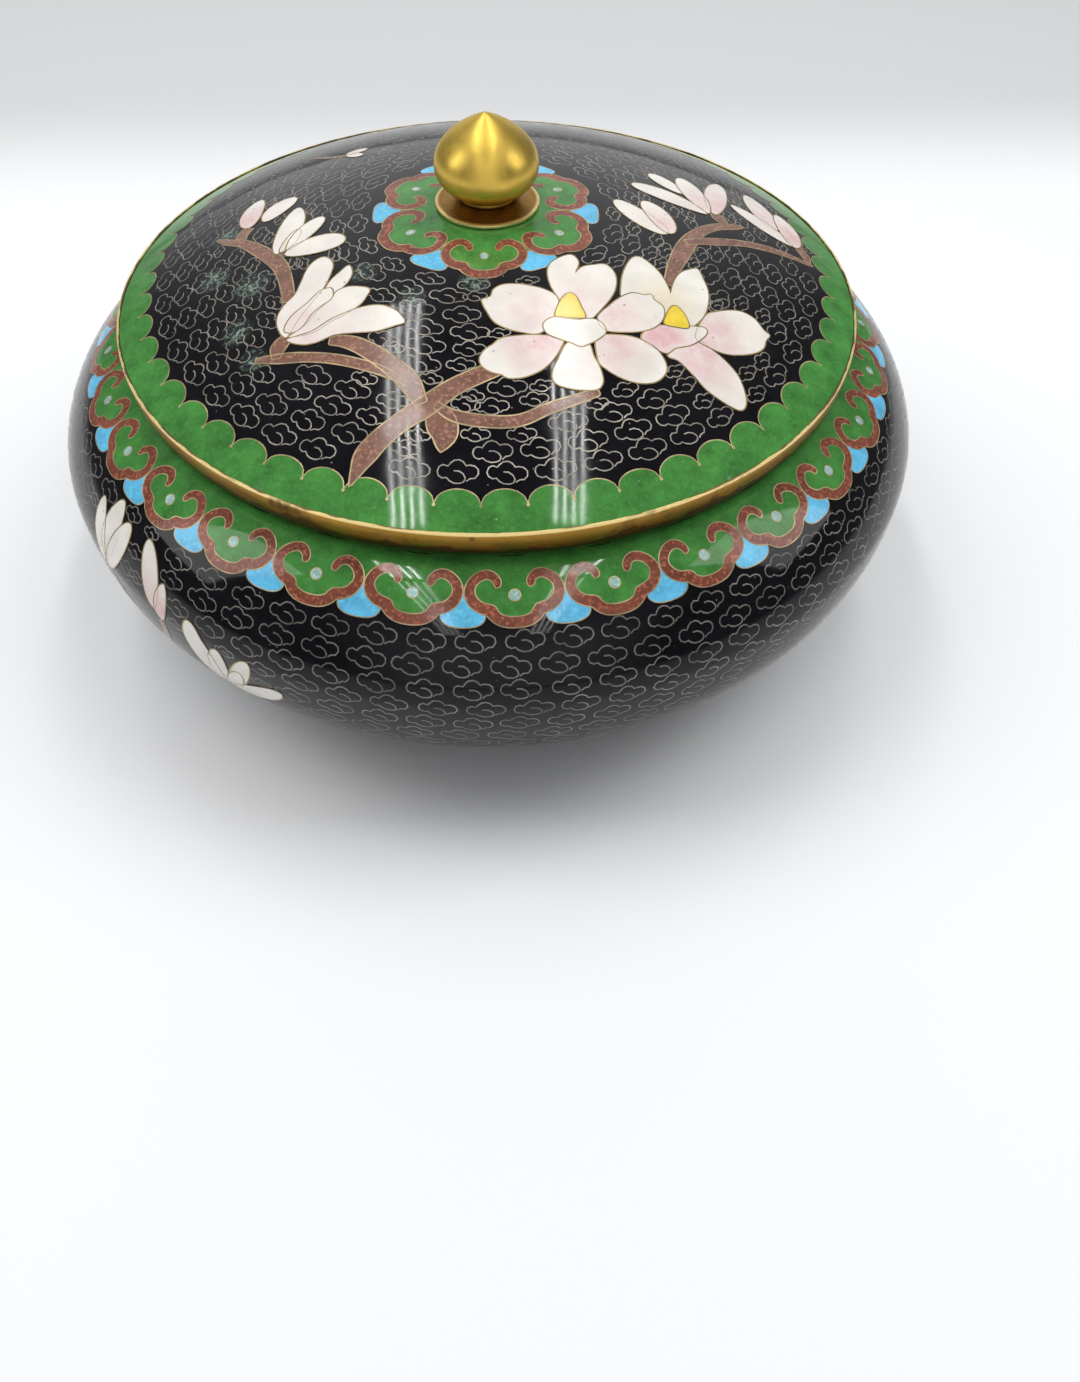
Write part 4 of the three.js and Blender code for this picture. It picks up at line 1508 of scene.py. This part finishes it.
HEARTS = [
    [(34.7, -36.2), (35.5, -33.5), (36.6, -31.3), (37.7, -30.5), (39.0, -31.8), (39.8, -33.8), (39.9, -36.2),
     (37.2, -36.6)],
    [(13.0, -37.4), (13.0, -35.5), (13.8, -33.2), (15.0, -31.2), (16.2, -30.5), (17.3, -31.6), (18.1, -34.2),
     (18.6, -37.4)],
]

# Petals on the belly: (distance round from the front, distance down from the mouth)

BELLY_REFERENCE = 88.75
BELLY_PETALS = [
    ((-84.6, 31.0), (-84.2, 16.2), 5.8, 0.6, 0.6, 0.0, 0.05),
    ((-85.4, 32.6), (-90.4, 19.4), 4.4, 0.6, 0.55, -0.3, 0.1),
    ((-84.0, 33.0), (-79.2, 18.8), 5.0, 0.6, 0.5, 0.4, 0.1),
    ((-68.0, 31.6), (-73.0, 18.2), 4.8, 0.55, 0.55, 0.7, 0.45),
    ((-66.6, 33.8), (-65.8, 24.2), 3.4, 0.55, 0.6, 0.0, 0.95),
    ((-52.4, 45.4), (-45.6, 31.6), 3.9, 0.6, 0.5, 0.0, 0.1),
    ((-55.2, 46.6), (-52.4, 32.0), 4.4, 0.6, 0.55, 0.0, 0.05),
    ((-55.8, 47.0), (-58.8, 28.4), 5.8, 0.6, 0.5, 0.5, 0.15),
    ((-53.4, 47.0), (-48.4, 36.8), 3.4, 0.6, 0.5, 0.0, 0.0),
    ((-53.6, 47.4), (-39.8, 38.2), 4.8, 0.6, 0.5, 0.3, 0.1),
]
BELLY_BRANCHES = [
    [(-84.2, 33.4, 0.8), (-83.0, 38.0, 1.2), (-79.0, 43.4, 1.4), (-72.5, 47.6, 1.7), (-64.0, 51.4, 1.9),
     (-54.0, 56.4, 2.1), (-44.0, 63.0, 2.2), (-38.0, 70.0, 2.3)],
    [(-66.8, 34.2, 0.6), (-67.6, 39.0, 1.0), (-70.4, 44.0, 1.1), (-73.4, 47.8, 1.3)],
    [(-54.6, 47.8, 0.9), (-55.4, 51.6, 1.2), (-54.8, 56.0, 1.4)],
]


BLUSH_AT = 0.28
BLUSH_LENGTH = 0.40
BLUSH_WIDTH = 0.42
RIM_STEP = 0.8
RIM_LEAST = 24
BRANCH_LEAST = 0.1


def blush_of(base, tip, strength):
    """Blush of a point: strength times exp(-((u - at)/length)^2 - (v/width)^2).

    u runs from 0 at the base to 1 at the tip and v is the distance from the petal's axis, both as
    shares of the petal's length.
    """
    base, tip = np.array(base), np.array(tip)
    axis = tip - base
    length = np.hypot(*axis)

    def value(points):
        """The blush at each plan point."""
        u = (points - base) @ axis / length ** 2
        across = ((points - base) @ np.array([-axis[1], axis[0]])) / length ** 2
        return strength * np.exp(-((u - BLUSH_AT) / BLUSH_LENGTH) ** 2 - (across / BLUSH_WIDTH) ** 2)

    return value


def rim_wire(outline, place, lift):
    """Wire round a closed outline, in steps of about 0.8 mm."""
    length = along(np.concatenate([outline, outline[:1]]))[-1]
    loop = evenly(outline, max(RIM_LEAST, int(length / RIM_STEP)), True)
    return wires(loop, settings().artwork.petal_wire_width, place, lift, True)


def broad_petals(petals, place, first=0):
    """Enamel and wire parts of petals drawn through points, each a step above the one before it."""
    flat, metal = [], []
    for k, (blush, points) in enumerate(petals):
        lift = PETAL + PETAL_STEP * (first + k)
        outline = smooth(points, 6, True)
        reach = np.linalg.norm(outline - outline[0], axis=1)
        shade = blush_of(outline[0], outline[np.argmax(reach)], blush)
        flat.append(slab(outline, place, lift, shade))
        metal.append(rim_wire(outline, place, lift))
    return flat, metal


def notched_petal(petal, place, lift):
    """Enamel lobes that share the line from the notch to the base, and the wire round both."""
    blush, left_base, notch, right_base, left, right = petal
    base = (np.array(left_base) + np.array(right_base)) / 2
    shade = blush_of(base, (left[4] + np.array(right[2])) / 2, blush)
    inner = cut(np.array([notch, base]), np.linspace(0, 1, 10))
    left_edge = smooth([left_base, *left, notch], 6)
    right_edge = smooth([notch, *right, right_base], 6)
    lobes = [np.concatenate([inner[:0:-1], inner[:1], left_edge[::-1][1:]]),
             np.concatenate([inner[::-1], right_edge[1:]])]
    flat = [slab(lobe, place, lift, shade) for lobe in lobes]
    round_both = np.concatenate([left_edge, right_edge[1:]])
    return flat, [rim_wire(round_both, place, lift)]


def slender_petals(petals, place, turn_over=False):
    """Enamel and wire parts of petals given by base, tip and width, each a step above the last."""
    flat, metal = [], []
    for k, (base, tip, size, p, q, bend, blush) in enumerate(petals):
        if turn_over:
            base, tip, bend = (base[0], -base[1]), (tip[0], -tip[1]), -bend
        lift = PETAL + PETAL_STEP * k
        outline = petal_outline(base, tip, size, p, q, bend)
        flat.append(slab(outline, place, lift, blush_of(base, tip, blush), 4, 18))
        metal.append(rim_wire(outline, place, lift))
    return flat, metal


def build_lid_flowers():
    """Magnolias on the lid: petals, notched petals, yellow hearts and their wires."""
    groups = [
        notched_petal(NOTCHED_PETALS[0], on_lid, PETAL),
        broad_petals(OPEN_FLOWER_BACK, on_lid, 1),
        notched_petal(NOTCHED_PETALS[1], on_lid, PETAL),
        broad_petals(OPEN_FLOWER_FRONT, on_lid, 1),
        broad_petals(CLOSED_FLOWER, on_lid),
    ]
    for first, last in LID_PETAL_GROUPS:
        groups.append(slender_petals(LID_PETALS[first:last], on_lid))
    flat = [part for group in groups for part in group[0]]
    metal = [part for group in groups for part in group[1]]
    make_piece("lid_petal_enamel", join(flat), "petal_enamel", attribute="blush")
    lift = PETAL + 6 * PETAL_STEP
    hearts = [smooth(points, 6, True) for points in HEARTS]
    yellow = [slab(outline, on_lid, lift) for outline in hearts]
    make_piece("lid_heart_enamel", join(yellow), "yellow_enamel")
    metal += [rim_wire(outline, on_lid, lift) for outline in hearts]
    make_piece("lid_petal_wires", join(metal), "petal_wire")


def build_belly_flowers():
    """Magnolias on the left of the belly."""
    flat, metal = [], []
    place = on_bowl(BELLY_REFERENCE)
    for group in (BELLY_PETALS[:3], BELLY_PETALS[3:5], BELLY_PETALS[5:]):
        more, wire = slender_petals(group, place, True)
        flat += more
        metal += wire
    make_piece("belly_petal_enamel", join(flat), "petal_enamel", attribute="blush")
    make_piece("belly_petal_wires", join(metal), "petal_wire")


def branch_outline(points):
    """Centreline, half-widths and closed outline of a branch from its points (x, y, half-width)."""
    path = evenly(smooth(points, 10), max(14, 5 * len(points)))
    plan, half = path[:, :2], path[:, 2].clip(BRANCH_LEAST)
    side = sideways(plan, False) * half[:, None]
    return plan, half, np.concatenate([plan + side, (plan - side)[::-1]])


def branch_parts(branches, place, turn_over=False):
    """Enamel and wire parts of branches; a branch closes to a rounded point where it thins out."""
    flat, metal = [], []
    for k, points in enumerate(branches):
        points = np.array(points, float)
        if turn_over:
            points[:, 1] *= -1
        lift = BRANCH + BRANCH_STEP * (k % 6)
        plan, half, outline = branch_outline(points)
        flat.append(ribbons(plan, half, place, lift))
        metal.append(rim_wire(outline, place, lift))
    return flat, metal


def build_branches():
    """Brown magnolia branches on the lid and on the belly."""
    flat, metal = branch_parts(LID_BRANCHES, on_lid)
    make_piece("lid_branch_enamel", join(flat), "bark_enamel")
    make_piece("lid_branch_wires", join(metal), "gilt_wire")
    flat, metal = branch_parts(BELLY_BRANCHES, on_bowl(BELLY_REFERENCE), True)
    make_piece("belly_branch_enamel", join(flat), "bark_enamel")
    make_piece("belly_branch_wires", join(metal), "gilt_wire")


# Stage: places and sizes in metres, for a lamp on the right; the left one is its mirror image

FRAME_LONG_SIDE = 1382.0
SENSOR = 36.0
CLIP = (0.01, 20.0)
SOFTBOX_PLACE = (0.68, 0.05, 0.86)
SOFTBOX_AIM = (0.0, 0.0, 0.04)
SOFTBOX_SIZE = (0.5, 0.7)
CARD_PLACE = (0.78, -0.10, 0.62)
CARD_AIM = (0.0, 0.0, 0.1)
CARD_SIZE = (0.34, 0.6)
TUBES_ACROSS = (-0.300, -0.272, -0.244, -0.216, 0.172, 0.200, 0.228, 0.256)
TUBE_SIZE = (0.006, 0.9)
TUBE_HEIGHT = 1.05
OVERHEAD_Y = 0.30
FRONT_Y = -0.65
FLOOR_HALF = 3.0
FLOOR_ROUGHNESS = 0.6
# Painted shade: behind the bowl the floor greys to FAR_GREY of its tone, where a backdrop would get less
# light
GREY_FROM_Y = 0.175
GREY_TO_Y = 0.275
FAR_GREY = 0.71

# Surround: pale and dim tones, and the parts of the way's X and Z where it turns dim
SURROUND_PALE = (0.83, 0.84, 0.86)
SURROUND_DIM = (0.15, 0.152, 0.155)
SIDES_DIM = (0.62, 0.28)
OVERHEAD_DIM = (0.88, 0.55)
SURROUND_STRENGTH = 0.85


def build_stage():
    """Camera at the photograph's place, pale floor that greys with distance as painted shade, and soft
    lights.
    """
    stage = settings().stage
    scene = bpy.context.scene
    scene.view_settings.view_transform = "Standard"
    data = bpy.data.cameras.new("camera")
    data.sensor_width = SENSOR
    data.lens = stage.focal_pixels / FRAME_LONG_SIDE * SENSOR
    data.clip_start, data.clip_end = CLIP
    camera = new_object("camera", data)
    forward = Vector((
        np.sin(stage.heading) * np.cos(stage.pitch), np.cos(stage.heading) * np.cos(stage.pitch),
        -np.sin(stage.pitch)))
    right = forward.cross(Vector((0, 0, 1))).normalized()
    up = right.cross(forward)
    cos, sin = np.cos(stage.roll), np.sin(stage.roll)
    right, up = right * cos + up * sin, up * cos - right * sin
    camera.matrix_world = Matrix((
        (right.x, up.x, -forward.x, 0.0),
        (right.y, up.y, -forward.y, -stage.camera_distance * MM),
        (right.z, up.z, -forward.z, stage.camera_height * MM),
        (0, 0, 0, 1)))
    scene.camera = camera
    build_floor()
    build_world()
    build_lights()


def build_lights():
    """Softboxes that reflections don't show, cards that only reflections show, and two rows of tubes."""
    stage = settings().stage
    for name, side in (("softbox_left", -1), ("softbox_right", 1)):
        softbox = lamp(name, mirrored(SOFTBOX_PLACE, side), SOFTBOX_AIM, SOFTBOX_SIZE, stage.softbox_power)
        softbox.visible_glossy = False
    for name, side in (("card_left", -1), ("card_right", 1)):
        card = lamp(name, mirrored(CARD_PLACE, side), CARD_AIM, CARD_SIZE, stage.card_power)
        card.visible_diffuse = False
    for k, across in enumerate(TUBES_ACROSS):
        for name, y, power in (("tube", OVERHEAD_Y, stage.tube_power),
                               ("front_tube", FRONT_Y, stage.front_power)):
            lamp(f"{name}_{k}", (across, y, TUBE_HEIGHT), (across, y, 0.0), TUBE_SIZE, power)


def mirrored(place, side):
    """The place itself for side 1, and its mirror image across the YZ plane for side -1."""
    return place[0] * side, place[1], place[2]


def build_floor():
    """A wide floor, near white under the bowl and light grey far behind it, the grey being painted shade."""
    stage = settings().stage
    finish, tree, shader, place = new_material("pale_floor")
    depth = add_node(tree, "SeparateXYZ", {0: place}).outputs["Y"]
    grey = add_node(tree, "MapRange", {
        "Value": depth, "From Min": GREY_FROM_Y, "From Max": GREY_TO_Y}, interpolation_type="SMOOTHSTEP")
    tone = mix(tree, grey.outputs["Result"], stage.floor, scaled(stage.floor, FAR_GREY))
    tree.links.new(tone, shader.inputs["Base Color"])
    shader.inputs["Roughness"].default_value = FLOOR_ROUGHNESS
    mesh = bpy.data.meshes.new("floor")
    half = FLOOR_HALF
    mesh.from_pydata([(-half, -half, 0), (half, -half, 0), (half, half, 0), (-half, half, 0)], [],
                     [(0, 1, 2, 3)])
    mesh.materials.append(finish)
    floor = new_object("floor", mesh)


def build_world():
    """Soft surround: pale walls in front and behind, dim at the sides and overhead."""
    world = bpy.data.worlds.new("surround")
    world.use_nodes = True
    bpy.context.scene.world = world
    tree = world.node_tree
    back = tree.nodes["Background"]
    place = add_node(tree, "TexCoord").outputs["Generated"]
    way = add_node(tree, "SeparateXYZ", {0: place}).outputs
    pale_across = ramp(tree, arithmetic(tree, "ABSOLUTE", way["X"], 0.0), *SIDES_DIM)
    pale_up = ramp(tree, way["Z"], *OVERHEAD_DIM)
    tone = mix(tree, arithmetic(tree, "MULTIPLY", pale_across, pale_up), SURROUND_DIM, SURROUND_PALE)
    tree.links.new(tone, back.inputs["Color"])
    back.inputs["Strength"].default_value = SURROUND_STRENGTH


def lamp(name, place, aim, size, power):
    """An area lamp at a place, in metres, turned towards the aim."""
    data = bpy.data.lights.new(name, "AREA")
    data.shape = "RECTANGLE"
    data.size, data.size_y = size
    data.energy = power
    light = new_object(name, data)
    light.location = place
    light.rotation_euler = (Vector(place) - Vector(aim)).to_track_quat("Z", "Y").to_euler()
    return light


class CLOISONNE_OT_stage(bpy.types.Operator):
    """Make the camera, the floor and the lights"""
    bl_idname = "cloisonne.stage"
    bl_label = "Stage"

    def execute(self, context):
        build_stage()
        return {"FINISHED"}


class CLOISONNE_OT_bowl(bpy.types.Operator):
    """Make the enamelled walls of the bowl"""
    bl_idname = "cloisonne.bowl"
    bl_label = "Bowl walls"

    def execute(self, context):
        build_bowl_shells()
        return {"FINISHED"}


class CLOISONNE_OT_lid(bpy.types.Operator):
    """Make the enamelled walls of the lid"""
    bl_idname = "cloisonne.lid"
    bl_label = "Lid walls"

    def execute(self, context):
        build_lid_shells()
        return {"FINISHED"}


class CLOISONNE_OT_rings(bpy.types.Operator):
    """Make the brass foot ring, mouth ring and lid band"""
    bl_idname = "cloisonne.rings"
    bl_label = "Brass rings"

    def execute(self, context):
        build_rings()
        return {"FINISHED"}


class CLOISONNE_OT_knob(bpy.types.Operator):
    """Make the brass collar and knob"""
    bl_idname = "cloisonne.knob"
    bl_label = "Knob"

    def execute(self, context):
        build_knob()
        return {"FINISHED"}


class CLOISONNE_OT_neck_border(bpy.types.Operator):
    """Make the green neck and its ruyi heads"""
    bl_idname = "cloisonne.neck_border"
    bl_label = "Neck border"

    def execute(self, context):
        build_neck_border()
        return {"FINISHED"}


class CLOISONNE_OT_medallion(bpy.types.Operator):
    """Make the medallion round the knob"""
    bl_idname = "cloisonne.medallion"
    bl_label = "Medallion"

    def execute(self, context):
        build_medallion()
        return {"FINISHED"}


class CLOISONNE_OT_lid_border(bpy.types.Operator):
    """Make the scalloped green border of the lid"""
    bl_idname = "cloisonne.lid_border"
    bl_label = "Lid border"

    def execute(self, context):
        build_lid_border()
        return {"FINISHED"}


class CLOISONNE_OT_clouds(bpy.types.Operator):
    """Make the wire clouds of the lid and the bowl, and the border above the foot"""
    bl_idname = "cloisonne.clouds"
    bl_label = "Clouds"

    def execute(self, context):
        build_lid_clouds()
        build_bowl_clouds()
        build_foot_border()
        return {"FINISHED"}


class CLOISONNE_OT_branches(bpy.types.Operator):
    """Make the magnolia branches"""
    bl_idname = "cloisonne.branches"
    bl_label = "Branches"

    def execute(self, context):
        build_branches()
        return {"FINISHED"}


class CLOISONNE_OT_flowers(bpy.types.Operator):
    """Make the magnolia flowers"""
    bl_idname = "cloisonne.flowers"
    bl_label = "Flowers"

    def execute(self, context):
        build_lid_flowers()
        build_belly_flowers()
        return {"FINISHED"}


OPERATORS = (
    CLOISONNE_OT_stage, CLOISONNE_OT_bowl, CLOISONNE_OT_lid, CLOISONNE_OT_rings, CLOISONNE_OT_knob,
    CLOISONNE_OT_neck_border, CLOISONNE_OT_medallion, CLOISONNE_OT_lid_border, CLOISONNE_OT_clouds,
    CLOISONNE_OT_branches, CLOISONNE_OT_flowers,
)


class CLOISONNE_PT_panel(bpy.types.Panel):
    """Lists the steps that build the lidded bowl"""
    bl_idname = "CLOISONNE_PT_panel"
    bl_label = "Cloisonne lidded bowl"
    bl_space_type = "VIEW_3D"
    bl_region_type = "UI"
    bl_category = "Cloisonne"

    def draw(self, context):
        column = self.layout.column()
        for operator in OPERATORS:
            column.operator(operator.bl_idname)


GROUPS = (BowlForm, BrassForm, ArtworkSettings, EnamelColours, StageSettings, BowlSettings)
CLASSES = GROUPS + OPERATORS + (CLOISONNE_PT_panel,)


def register():
    """Registers the classes and hangs the settings on the scene."""
    for cls in CLASSES:
        bpy.utils.register_class(cls)
    bpy.types.Scene.lidded_bowl = bpy.props.PointerProperty(type=BowlSettings)


def unregister():
    """Undoes register."""
    del bpy.types.Scene.lidded_bowl
    for cls in reversed(CLASSES):
        bpy.utils.unregister_class(cls)


def main():
    """Makes every piece in order."""
    register()
    bpy.ops.cloisonne.stage()
    bpy.ops.cloisonne.bowl()
    bpy.ops.cloisonne.lid()
    bpy.ops.cloisonne.rings()
    bpy.ops.cloisonne.knob()
    bpy.ops.cloisonne.neck_border()
    bpy.ops.cloisonne.medallion()
    bpy.ops.cloisonne.lid_border()
    bpy.ops.cloisonne.clouds()
    bpy.ops.cloisonne.branches()
    bpy.ops.cloisonne.flowers()


if __name__ == "__main__":
    main()
